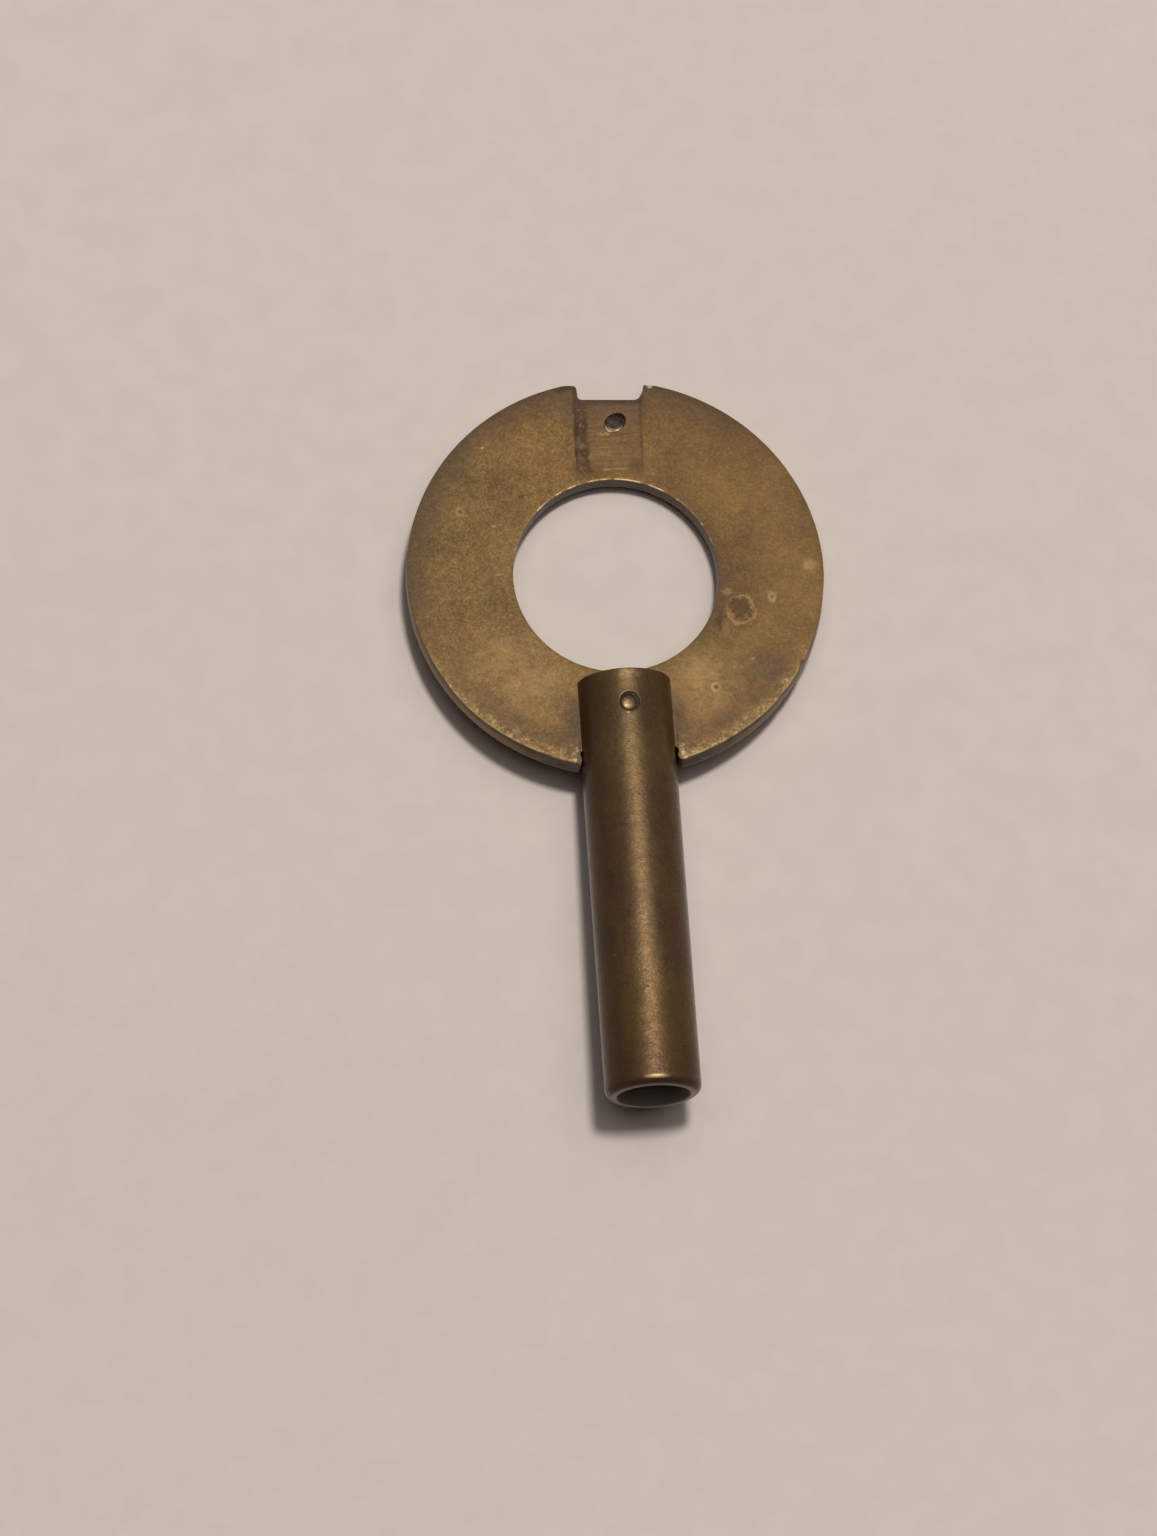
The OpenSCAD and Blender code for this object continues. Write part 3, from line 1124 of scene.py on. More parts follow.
class Sheet:
    """Adds nodes to one material, with Object coordinates in millimetres."""

    def __init__(self, name: str, origin_y: float = 0.0) -> None:
        """Makes the material and its first nodes.

        Args:
            name: name of the material.
            origin_y: place on the key that lengths along it are given from.
        """
        self.material = bpy.data.materials.new(name)
        self.material.use_nodes = True
        self.tree = self.material.node_tree
        self.shader = self.tree.nodes["Principled BSDF"]
        self.origin_y = origin_y
        place = self.node("TexCoord", {}).outputs["Object"]
        self.point = self.node("Mapping", {"Vector": place, "Scale": (1.0 / MM,) * 3}).outputs["Vector"]
        self.x, self.y, self.z = self.node("SeparateXYZ", {"Vector": self.point}).outputs

    def put(self, socket: Socket, value: Value | Sequence[float]) -> None:
        """Links a socket to another one, or sets its value.

        Args:
            socket: input of a node.
            value: socket to link to it, number, or colour or vector as a tuple.
        """
        if isinstance(value, Socket):
            self.tree.links.new(value, socket)
        elif isinstance(value, tuple) and socket.type == "RGBA":
            socket.default_value = (*value, 1.0)
        else:
            socket.default_value = value

    def node(self, kind: str, inputs: dict[str | int, Value | Triple], **options: str) -> bpy.types.Node:
        """Adds a node.

        Args:
            kind: Blender's name of the node, without its prefix.
            inputs: values or links for its inputs, by name or number.
            options: settings of the node itself.

        Returns:
            The node.
        """
        node = self.tree.nodes.new("ShaderNode" + kind)
        for option, choice in options.items():
            setattr(node, option, choice)
        for name, value in inputs.items():
            self.put(node.inputs[name], value)
        return node

    def math(self, operation: Op, *values: Value) -> Socket:
        """Result of a Math node."""
        return self.node("Math", dict(enumerate(values)), operation=operation.value).outputs["Value"]

    def both(self, *shares: Value) -> Value:
        """Product of shares.

        Args:
            shares: one share or more.

        Returns:
            The first share times each of the others.
        """
        total = shares[0]
        for share in shares[1:]:
            total = self.math(Op.MULTIPLY, total, share)
        return total

    def swing(self, centre: float, *parts: tuple[Socket, float]) -> Socket:
        """Weighted swings of some values about a centre.

        Args:
            centre: result where every value is 0.5.
            parts: values with their weights.

        Returns:
            The centre plus each weight times its value's distance from 0.5.
        """
        total: Value = centre - 0.5 * sum(weight for _, weight in parts)
        for value, weight in parts:
            total = self.math(Op.MULTIPLY_ADD, value, weight, total)
        return total

    def apart(self, value: Socket, middle: float = 0.0) -> Socket:
        """Distance of a value from a middle, without its sign."""
        return self.math(Op.ABSOLUTE, self.math(Op.SUBTRACT, value, middle) if middle else value)

    def span(self, value: Value, low: float, high: float, start: float = 0.0, end: float = 1.0) -> Socket:
        """Smooth map of a value's range from low to high onto start to end."""
        inputs = {"Value": value, "From Min": low, "From Max": high, "To Min": start, "To Max": end}
        return self.node("MapRange", inputs, interpolation_type="SMOOTHSTEP").outputs["Result"]

    def across(self, low: float, high: float, start: float = 0.0, end: float = 1.0) -> Socket:
        """Smooth map of the distance to the key's middle plane."""
        return self.span(self.apart(self.x), low, high, start, end)

    def along(self, low: float, high: float, start: float = 0.0, end: float = 1.0) -> Socket:
        """Smooth map of the length along the key from the sheet's origin."""
        return self.span(self.y, self.origin_y + low, self.origin_y + high, start, end)

    def noise(self, scale: float, detail: float = 3.0, rough: float = 0.55,
              stretch: Triple = (1.0, 1.0, 1.0)) -> Socket:
        """Noise with a scale in waves to the millimetre.

        Args:
            scale: waves to the millimetre.
            detail: number of finer layers.
            rough: strength of the finer layers.
            stretch: scale along each axis.

        Returns:
            Values about 0.5.
        """
        place = self.node("Mapping", {"Vector": self.point, "Scale": stretch}).outputs["Vector"]
        inputs = {"Vector": place, "Scale": scale, "Detail": detail, "Roughness": rough}
        return self.node("TexNoise", inputs).outputs["Fac"]

    def mottle(self, kind: Mottle) -> Socket:
        """Patchy share of a kind."""
        noise = self.noise(kind.scale, kind.detail, kind.rough)
        return self.span(noise, kind.low, kind.high, kind.start, kind.end)

    def blend(self, share: Value, first: Tone, second: Tone, way: Mix = Mix.COVER) -> Socket:
        """Mix of two colours.

        Args:
            share: share of the second colour.
            first: colour at a share of 0.
            second: colour that covers or tints the first one.
            way: way to mix them.

        Returns:
            The mixed colour.
        """
        inputs = {0: share, 6: first, 7: second}
        return self.node("Mix", inputs, data_type="RGBA", blend_type=way.value).outputs[2]

    def lay(self, under: Tone, over: Tone, *shares: Value) -> Socket:
        """A colour with another laid over it by the product of shares."""
        return self.blend(self.both(*shares), under, over)

    def tinted(self, colour: Tone, tint: Tone, share: Value = 1.0) -> Socket:
        """A colour times a tint or a strength, by a share."""
        return self.blend(share, colour, tint, Mix.TINT)

    def measure(self, name: str) -> Socket:
        """Values of an attribute of the mesh."""
        return self.node("Attribute", {}, attribute_name=name).outputs["Fac"]

    def away(self, x: float, y: float, sides: Triple = (1.0, 1.0, 0.0)) -> Socket:
        """Distance from an upright line through a point, or from an axis.

        Args:
            x: the point's first coordinate.
            y: its length along the key from the sheet's origin.
            sides: scale of the distance along each axis.

        Returns:
            Length of the scaled offset in millimetres.
        """
        shift = (-x * sides[0], -(self.origin_y + y) * sides[1], 0.0)
        moved = self.node("Mapping", {"Vector": self.point, "Location": shift, "Scale": sides})
        return self.node("VectorMath", {0: moved.outputs["Vector"]}, operation="LENGTH").outputs["Value"]

    def relief(self, height: Socket, depth: float, under: Socket | None = None) -> Socket:
        """Normal bumped by a height of 0 to 1.

        Args:
            height: height at each point.
            depth: what a height of 1 is worth, in millimetres.
            under: normal that the bump is added to, if not the mesh's own.

        Returns:
            The bumped normal.
        """
        inputs = {"Strength": 1.0, "Distance": depth * MM, "Height": height}
        if under is not None:
            inputs["Normal"] = under
        return self.node("Bump", inputs).outputs["Normal"]

    def finish(self, colour: Socket, roughness: Socket, metallic: Value = 0.0, normal: Socket | None = None,
               specular: float = 0.5) -> bpy.types.Material:
        """Sets the shader's inputs.

        Args:
            colour: base colour.
            roughness: roughness map.
            metallic: map of the share of bare metal, or a number.
            normal: bumped normal, if there is one.
            specular: specular level.

        Returns:
            The finished material.
        """
        inputs = {"Base Color": colour, "Roughness": roughness, "Metallic": metallic,
                  "Specular IOR Level": specular}
        if normal is not None:
            inputs["Normal"] = normal
        for name, value in inputs.items():
            self.put(self.shader.inputs[name], value)
        return self.material


def srgb(red: int, green: int, blue: int) -> Colour:
    """Linear colour of screen values from 0 to 255.

    Args:
        red: red value.
        green: green value.
        blue: blue value.

    Returns:
        Each value's share of 255 by the sRGB curve: a straight line near black and a power of 2.4 above it.
    """
    share = np.array([red, green, blue]) / 255.0
    linear = np.where(share <= 0.04045, share / 12.92, ((share + 0.055) / 1.055) ** 2.4)
    return tuple(float(v) for v in linear)


@dataclass(frozen=True)
class Spot:
    """Stain, speck or painted highlight on the bow's upper face, about the bow's centre: a core, in a ring
    where it has one.
    """

    x: float
    y: float
    r: float
    core: Colour
    ring_w: float = 0.0
    ring: Colour = srgb(158, 128, 82)
    ragged: float = 0.0
    sides: Triple = (1.0, 1.0, 0.0)
    strength: float = 0.85
    soft: float = 0.1


@dataclass(frozen=True)
class Scratch:
    """Bright mark across the bow's upper face, about the bow's centre."""

    x0: float
    x1: float
    y: float
    w: float
    strength: float


@dataclass(frozen=True)
class BowFinish(Finish):
    """Satin brass under a speckled brown patina, greyer beside the pipe, gold along the lower rim, with
    painted highlights, shade and reflections.
    """

    olive: Colour = srgb(106, 81, 43)
    russet: Colour = srgb(104, 78, 43)
    dusk: Colour = srgb(73, 56, 39)
    grey: Colour = srgb(82, 63, 44)
    gold: Colour = srgb(159, 126, 81)
    wall: Colour = srgb(88, 74, 62)
    # Pale wall colour of a painted reflection of the paper
    paper_reflection: Colour = srgb(126, 102, 73)
    shade: Colour = srgb(66, 53, 43)
    filed: Colour = srgb(95, 70, 47)
    crust: Colour = srgb(61, 43, 28)
    fleck: Colour = srgb(144, 108, 75)
    # Pale gold of burrs and of the painted highlights on the edges
    burr_and_highlight: Colour = srgb(207, 182, 136)
    soot: Colour = srgb(104, 74, 46)
    tint: Colour = (0.98, 0.93, 0.89)
    face_z: Pair = (0.3, 0.42)
    scratch_z: Pair = (0.3, 0.4)
    flank_z: Pair = (0.52, 0.46)
    drift: Mottle = Mottle(0.3, 0.36, 0.64, rough=0.5)
    rubbing: Mottle = Mottle(0.8, 0.35, 0.65, 0.1, 0.4, detail=4.0, rough=0.7)
    glints: Mottle = Mottle(3.7, 0.7, 0.8, detail=1.0)
    film: Mottle = Mottle(1.6, 0.38, 0.6, 0.35, 1.0, detail=5.0, rough=0.7)
    rim_burr_highlight: Mottle = Mottle(1.3, 0.38, 0.58, 0.2, 0.85)
    hole_burr_highlight: Mottle = Mottle(1.1, 0.45, 0.6, 0.05, 0.7)
    step_dirt_and_shade: Mottle = Mottle(1.2, 0.35, 0.6, 0.05, 0.45)
    broken: Mottle = Mottle(3.0, 0.3, 0.55, detail=2.0)
    crusting: Mottle = Mottle(1.4, 0.36, 0.6, 0.3, 1.0, rough=0.6)
    flecking: Mottle = Mottle(2.6, 0.6, 0.7, detail=2.0)
    faint: Mottle = Mottle(0.8, 0.3, 0.6, 0.3, 0.85, detail=2.0)
    wall_drift: Mottle = Mottle(1.2, 0.35, 0.65, detail=4.0)
    spots: tuple[Spot, ...] = (
        Spot(9.5, -6.7, 1.1, srgb(79, 62, 47), ragged=2.4, strength=0.55, soft=0.5),
        Spot(6.6, -2.6, 0.9, srgb(79, 59, 39), ragged=1.4, sides=(1.6, 0.6, 0.0), strength=0.6, soft=0.4),
        Spot(6.4, -3.6, 0.42, srgb(64, 43, 26), ragged=1.3, sides=(1.3, 0.75, 0.0), strength=0.8, soft=0.25),
        Spot(9.87, -8.28, 0.22, srgb(72, 56, 42), ragged=1.2, strength=0.5, soft=0.18),
        Spot(7.9, -2.7, 0.76, srgb(63, 41, 19), 0.22, srgb(141, 111, 70), 1.9, (0.95, 1.0, 0.0), soft=0.22),
        Spot(9.97, -2.03, 0.1, srgb(75, 55, 35), 0.26, srgb(142, 116, 77), 0.2, (1.25, 0.85, 0.0)),
        Spot(5.89, -8.04, 0.14, srgb(60, 43, 25), 0.18, srgb(168, 140, 90), 0.15),
        Spot(12.48, 0.09, 0.45, srgb(136, 106, 62), ragged=1.2, soft=0.25),
        Spot(-9.78, 4.68, 0.12, srgb(83, 61, 39), 0.16, srgb(137, 110, 69), 0.3),
        Spot(6.8, -4.0, 0.28, srgb(131, 103, 65), ragged=1.6, sides=(1.4, 0.7, 0.0), strength=0.5, soft=0.28),
        Spot(7.2, -1.6, 0.24, srgb(139, 109, 68), ragged=1.4, sides=(0.8, 1.2, 0.0), strength=0.6, soft=0.2),
        Spot(-8.09, 9.08, 0.11, srgb(159, 129, 88), ragged=0.2, strength=0.85, soft=0.06),
        Spot(8.4, -6.2, 0.08, srgb(148, 119, 79), ragged=0.3, strength=0.7),
        # Painted highlight on the nick at the notch's right corner
        Spot(3.1, 12.98, 0.12, srgb(190, 170, 129), ragged=0.3, sides=(0.7, 1.2, 0.0)),
        Spot(11.55, -6.6, 0.16, srgb(66, 50, 36), ragged=0.3, sides=(1.0, 0.7, 0.0)),
        Spot(-5.8, 5.58, 0.13, srgb(55, 40, 24), ragged=0.2, sides=(0.8, 1.1, 0.0)),
        Spot(-1.4, 7.2, 0.45, srgb(69, 47, 29), ragged=1.8, sides=(0.6, 1.0, 0.0), strength=0.6, soft=0.3),
        Spot(1.85, 7.55, 0.35, srgb(73, 55, 37), ragged=1.4, strength=0.6, soft=0.3),
        Spot(-0.05, 9.75, 0.2, srgb(158, 128, 79), ragged=1.0, sides=(0.6, 1.3, 0.0), strength=0.5,
             soft=0.15),
    )
    scratches: tuple[Scratch, ...] = (
        Scratch(-0.37, 0.01, 8.84, 0.06, 0.5),
        Scratch(-0.44, 0.21, 8.43, 0.06, 0.55),
        Scratch(-0.26, 1.09, 7.3, 0.1, 0.7),
        Scratch(0.35, 1.0, 6.95, 0.08, 0.4),
        Scratch(-0.1, 0.7, 7.75, 0.05, 0.25),
        Scratch(-7.72, -7.26, 3.61, 0.14, 1.0),
        Scratch(-7.68, -7.46, 0.25, 0.13, 0.9),
    )

    def patina(self, s: Sheet) -> Socket:
        """Brown between olive and russet, times its speckle, warmer at the upper right and rubbed low down.

        Args:
            s: sheet of the bow's material.

        Returns:
            Colour of the faces without dirt and stains.
        """
        patches = s.both(s.swing(0.0, (s.noise(1.5, 5.0, 0.75), 1.6)), s.along(-3.0, -10.0, 0.3, 0.9))
        grain = s.swing(0.0, (s.noise(1.9, 3.0, 0.7), 0.7), (s.noise(4.6, 4.0, 0.9), 1.3),
                        (s.noise(9.0, 0.0), 0.5))
        grain = s.math(Op.MAXIMUM, grain, -0.12)
        busy = s.span(s.x, 7.0, -3.0, 0.9, 1.75)
        speckle = s.math(Op.ADD, s.swing(1.0, (s.noise(0.22, 3.0, 0.6), 1.3)), s.both(grain, busy))
        speckle = s.math(Op.ADD, speckle, patches)
        colour = s.tinted(s.blend(s.mottle(self.drift), self.russet, self.olive), speckle)
        warm = s.span(s.math(Op.ADD, s.x, s.y), BOW_Y - 4.0, BOW_Y + 6.0)
        colour = s.tinted(colour, self.tint, warm)
        left = s.span(s.away(-6.3, -6.2), 5.0, 1.0)
        right = s.span(s.away(5.2, -7.6), 3.4, 1.0, 0.0, 1.2)
        colour = s.lay(colour, self.gold, s.math(Op.MAXIMUM, left, right), s.mottle(self.rubbing))
        return s.lay(colour, self.gold, s.mottle(self.glints), 0.35)

    def dirt(self, s: Sheet, colour: Socket, rim: Socket, hole: Socket) -> Socket:
        """Adds the dusk along the upper rim and at the hole's right, the grey beside the pipe and the dusk
        next to it, which is dirt and painted shade.

        Args:
            s: sheet of the bow's material.
            colour: colour so far.
            rim: distance to the rim and the notches.
            hole: distance to the finger hole.

        Returns:
            The colour with its dirt, the painted shade beside the pipe, and the worn metal and painted
            highlights of the edges.
        """
        stray = s.swing(0.0, (s.noise(0.9, 4.0), 1.8))
        ragged = s.math(Op.ADD, rim, stray)
        upper = s.span(s.math(Op.SUBTRACT, s.y, s.math(Op.MULTIPLY, s.x, 0.6)), BOW_Y, BOW_Y + 9.0)
        colour = s.lay(colour, self.dusk, s.span(ragged, 2.6, 0.1), s.span(upper, 0.0, 1.0, 0.15, 0.75))
        hollow = s.span(s.math(Op.MULTIPLY_ADD, stray, 0.5, hole), 1.1, 0.1)
        colour = s.lay(colour, self.dusk, hollow, s.span(s.x, 3.5, 5.5), 0.5)
        beside = s.span(s.math(Op.ADD, s.apart(s.x), s.math(Op.MULTIPLY, stray, 0.7)), 5.0, 3.0)
        low = s.along(-7.4, -9.8)
        colour = s.lay(colour, self.grey, beside, low, s.mottle(self.film))
        # Darker right beside the pipe, more on its left: dirt and painted shade of the pipe
        colour = s.lay(colour, self.dusk, s.across(4.1, 3.3), low, s.span(s.x, 1.0, -1.0, 0.3, 0.6))
        lower = s.along(-3.5, -9.0)
        inside = s.both(s.span(ragged, 2.6, 1.5), s.span(ragged, 0.4, 1.0), lower)
        colour = s.lay(colour, self.grey, inside, s.span(s.x, 2.0, -2.0, 0.25, 0.38))
        return self.bare_edges(s, colour, rim, hole, stray, lower)

    def bare_edges(self, s: Sheet, colour: Socket, rim: Socket, hole: Socket, stray: Socket,
                   lower: Socket) -> Socket:
        """Adds the flaked gold along the lower rim, and a painted highlight on a burr along the lower rim's
        edge and the hole's top edge.

        Args:
            s: sheet of the bow's material.
            colour: colour so far.
            rim: distance to the rim and the notches.
            hole: distance to the finger hole.
            stray: how far the borders stray.
            lower: share of the lower rim.

        Returns:
            The colour with its worn gold edges and painted highlights.
        """
        brink = s.math(Op.SUBTRACT, rim, s.along(*JOINT_SPAN, 0.0, JOINT_LEAN))
        band = s.span(s.math(Op.MULTIPLY_ADD, stray, 0.6, brink), 1.25, 0.1)
        flakes = s.noise(2.4, 5.0, 0.8)
        open_rim = s.both(lower, s.across(3.2, 3.7, 0.3))
        colour = s.lay(colour, self.gold, s.both(band, s.span(flakes, 0.44, 0.62, 0.05, 0.8), open_rim))
        bright = s.span(flakes, 0.54, 0.68, 0.0, 0.6)
        # Painted highlight on the lower rim's worn edge, as a broad band and a thin line
        colour = s.lay(colour, self.burr_and_highlight, s.span(brink, 0.9, 0.2), lower, bright)
        thin = s.both(s.span(brink, 0.26, 0.14), s.mottle(self.rim_burr_highlight))
        colour = s.lay(colour, self.burr_and_highlight, thin, open_rim, s.across(3.3, 3.6))
        # Painted highlight on the burr along the finger hole's top edge
        burr_and_highlight = s.both(s.span(hole, 0.14, 0.08), s.along(1.0, 4.0))
        return s.lay(colour, self.burr_and_highlight, burr_and_highlight, s.mottle(self.hole_burr_highlight))

    def seat(self, s: Sheet, colour: Socket, rim: Socket) -> Socket:
        """Adds the dull filed seat, its file marks, dirt and painted shade along its steps and along the
        notch, and the flecked crust.

        Args:
            s: sheet of the bow's material.
            colour: colour so far.
            rim: distance to the rim and the notches.

        Returns:
            The colour with the empty seat's marks and the scratches.
        """
        filed, crust = s.measure("filed"), s.measure("crust")
        colour = s.lay(colour, self.filed, filed, 0.5)
        marks = s.swing(1.0, (s.noise(3.4, 3.0, 0.7, (0.1, 1.0, 1.0)), 1.1))
        colour = s.blend(filed, colour, s.tinted(colour, marks))
        # Dusk along the seat's steps: dirt and painted shade of the step
        step = s.both(s.span(s.apart(filed, 0.5), 0.5, 0.25), s.span(s.apart(s.x, 0.2), 1.3, 1.9))
        colour = s.lay(colour, self.dusk, step, s.mottle(self.step_dirt_and_shade))
        # Dark band along the notch's edge: dirt and painted shade where the edge faces away
        notch = s.span(s.math(Op.ADD, s.swing(0.0, (s.noise(0.9, 4.0), 0.5)), rim), 0.5, 0.12)
        colour = s.lay(colour, self.crust, notch, s.along(9.5, 11.5), s.across(3.4, 2.6), 0.8)
        broken, face = s.mottle(self.broken), s.span(s.z, *self.scratch_z)
        for mark in self.scratches:
            line = s.span(s.apart(s.y, BOW_Y + mark.y), mark.w, 0.0)
            start = s.span(s.x, mark.x0 - 0.2, mark.x0 + 0.1)
            stop = s.span(s.x, mark.x1 + 0.2, mark.x1 - 0.1)
            colour = s.lay(colour, self.gold, line, s.both(start, stop), broken, face, mark.strength)
        colour = s.lay(colour, self.crust, crust, s.mottle(self.crusting))
        flecks = s.both(s.span(crust, 0.1, 0.6), s.mottle(self.flecking))
        return s.lay(colour, self.fleck, flecks, 0.6)

    def stains(self, s: Sheet, colour: Socket) -> Socket:
        """Adds each stain, speck or painted highlight as a ragged core, in a ring where it has one.

        Args:
            s: sheet of the bow's material.
            colour: colour so far.

        Returns:
            The stained colour.
        """
        face, faint = s.span(s.z, *self.face_z), s.mottle(self.faint)
        wobble = s.swing(0.0, (s.noise(0.9, 5.0, 0.8), 1.0))
        mottle = s.swing(1.0, (s.noise(3.2, 4.0, 0.8), 1.6))
        for spot in self.spots:
            gap = s.math(Op.MULTIPLY_ADD, wobble, spot.ragged, s.away(spot.x, spot.y, spot.sides))
            if spot.ring_w > 0.0:
                outer = s.span(gap, spot.r + spot.ring_w + 0.06, spot.r + 0.7 * spot.ring_w)
                colour = s.lay(colour, spot.ring, outer, face, faint)
            core = s.both(s.span(gap, spot.r + spot.soft, spot.r - spot.soft), face, spot.strength)
            colour = s.blend(core, colour, s.tinted(spot.core, mottle))
        return colour

    def material(self) -> bpy.types.Material:
        """Makes the material from the bow's attributes and noise in millimetres.

        Returns:
            The faces' colour with the walls' colour on the plate's edges, lighter low down at the sides in a
            painted reflection of the paper, and a fine grain.
        """
        s = Sheet("bow_aged_brass", BOW_Y)
        rim, hole = s.measure("rim_gap"), s.measure("hole_gap")
        colour = self.dirt(s, self.patina(s), rim, hole)
        colour = self.stains(s, self.seat(s, colour, rim))
        flank = s.span(s.apart(s.z), *self.flank_z)
        torn = s.span(s.away(*TEAR), 1.0, 0.8)
        wall = s.blend(s.mottle(self.wall_drift), self.wall, self.shade)
        # Walls lighter towards the sides and the bottom: painted reflection of the paper
        wall = s.lay(wall, self.paper_reflection, s.across(4.0, 9.5), s.span(s.z, 0.4, 0.0))
        wall = s.lay(wall, self.shade, s.span(hole, 0.1, 0.05, 0.0, 0.75))
        wall = s.lay(wall, self.shade, s.across(3.17, 3.14), s.along(-11.5, -11.9))
        colour = s.blend(flank, colour, s.lay(wall, self.soot, torn))
        grain = s.noise(6.0, 2.0)
        roughness = s.math(Op.MULTIPLY_ADD, flank, -0.22, s.span(grain, 0.3, 0.7, 0.56, 0.66))
        dull = s.span(s.both(torn, flank), 0.0, 1.0, 1.0, 0.2)
        metallic = s.both(s.span(grain, 0.3, 0.7, 0.44, 0.56), dull)
        return s.finish(colour, roughness, metallic, s.relief(grain, depth=0.012), specular=0.3)


@dataclass(frozen=True)
class PipeFinish(Finish):
    """Smooth brass with a dark brown patina, rubbed along its top and at its mouth, with painted highlights
    and shade, dirty in its bore.

    A dint is its place across and along the pipe and its radius.
    """

    bore_r: float = 2.3
    bore_end: float = 14.0
    dints: tuple[Triple, ...] = ((-0.17, 6.28, 0.1), (-0.23, 22.56, 0.06), (1.68, 21.58, 0.05),
                                 (0.57, 18.91, 0.06), (-1.99, 8.7, 0.05), (-0.22, 2.56, 0.05))
    olive: Colour = srgb(84, 65, 37)
    brown: Colour = srgb(75, 55, 36)
    # Lighter brown of the top: rubbed wear and a painted sheen
    rubbed: Colour = srgb(97, 75, 43)
    dusk: Colour = srgb(53, 39, 27)
    # Pale brass of worn spots and of painted highlights
    bright: Colour = srgb(164, 139, 98)
    # Pale grey of the worn lip and its painted reflection of the paper
    lip: Colour = srgb(115, 100, 92)
    soot: Colour = srgb(114, 102, 95)
    tint: Colour = (0.98, 0.88, 0.84)
    crown_z: Pair = (1.5, 2.5)
    upper_z: Pair = (1.0, 2.0)
    heel_z: Pair = (2.0, 2.6)
    drift: Mottle = Mottle(0.22, 0.36, 0.64, rough=0.5)
    rubbing: Mottle = Mottle(0.8, 0.3, 0.6, 0.3, 0.8, detail=4.0)
    pitting: Mottle = Mottle(2.6, 0.78, 0.84, detail=1.0)
    heel_wear: Mottle = Mottle(2.0, 0.36, 0.6)

    def patina(self, s: Sheet, speckle: Socket) -> Socket:
        """Brown between two shades, times its speckle, in painted shade on its left, rubbed with a painted
        sheen along the top and dusky round the pin.

        Args:
            s: sheet of the pipe's material.
            speckle: strength of the colour at each point.

        Returns:
            Colour of the wall without dints and ends.
        """
        colour = s.tinted(s.blend(s.mottle(self.drift), self.brown, self.olive), speckle)
        colour = s.tinted(colour, self.tint, s.along(11.0, 2.0))
        # Darker on the left side, away from the lamp: painted shade
        colour = s.lay(colour, self.dusk, s.span(s.x, -1.2, -2.6), s.span(s.z, -0.5, 0.5), 0.45)
        crown = s.span(s.z, *self.crown_z)
        # Lighter along the top: rubbed wear and a painted sheen of the highlight streak
        top = s.both(s.across(0.9, 0.1), crown, s.along(1.0, 11.0, 0.1, 1.0))
        colour = s.lay(colour, self.rubbed, top, s.mottle(self.rubbing))
        colour = s.lay(colour, self.dusk, s.span(s.away(0.03, PIN_Y), 1.15, 0.6), crown, 0.4)
        return s.lay(colour, self.bright, s.span(s.away(-0.1, PIN_Y - 0.69), 0.08, 0.03), crown)

    def dinted(self, s: Sheet, colour: Socket) -> tuple[Socket, Socket]:
        """Adds small pits and the dints, each with a painted highlight on its edge towards the mouth.

        Args:
            s: sheet of the pipe's material.
            colour: colour so far.

        Returns:
            The colour, and the depth of pits and dints as a share.
        """
        pits = s.both(s.mottle(self.pitting), 0.6)
        upper = s.span(s.z, *self.upper_z)
        for x, y, r in self.dints:
            dint = s.both(s.span(s.away(x, y), 1.3 * r, 0.3 * r), upper, 0.45)
            # Painted highlight on the dint's edge towards the mouth
            colour = s.lay(colour, self.bright, s.span(s.away(x, y - 1.1 * r), 1.2 * r, 0.4 * r), upper, 0.4)
            pits = s.math(Op.MAXIMUM, pits, dint)
        return s.lay(colour, self.dusk, pits), pits

    def ends(self, s: Sheet, colour: Socket) -> Socket:
        """Adds the rubbed heel, the front in painted shade, its pale lip with a painted reflection and the
        bright ridge over the mouth with a painted highlight.

        Args:
            s: sheet of the pipe's material.
            colour: colour so far.

        Returns:
            The colour with both ends of the pipe.
        """
        heel = s.both(s.span(s.measure("heel_gap"), 1.1, 0.1), s.span(s.away(0.1, 27.0), 1.1, 0.3))
        heel = s.both(heel, s.span(s.z, *self.heel_z))
        colour = s.lay(colour, self.bright, heel, s.mottle(self.heel_wear), 0.35)
        # Dark front of the mouth's rounding: painted shade
        colour = s.lay(colour, self.dusk, s.along(0.5, 0.25), 0.9)
        # Pale lip: worn, with a painted reflection of the paper
        colour = s.lay(colour, self.lip, s.along(0.08, 0.01))
        # Bright ridge over the mouth: polished wear and a painted highlight
        ridge = s.span(s.measure("mouth_gap"), 0.16, 0.02)
        return s.lay(colour, self.bright, ridge, s.across(1.0, 0.1), s.span(s.z, *self.upper_z))

    def material(self) -> bpy.types.Material:
        """Makes the material from the pipe's attributes and noise in millimetres.

        Returns:
            The wall's colour with soot in the bore and dirt and painted shade in the sunk rings, and a low
            relief with pits.
        """
        s = Sheet("pipe_aged_brass")
        speckle = s.swing(1.0, (s.noise(0.7, 3.0), 0.8), (s.noise(2.6, 5.0, 0.9), 1.6),
                          (s.noise(7.5, 0.0), 0.7))
        colour, pits = self.dinted(s, self.patina(s, speckle))
        colour = self.ends(s, colour)
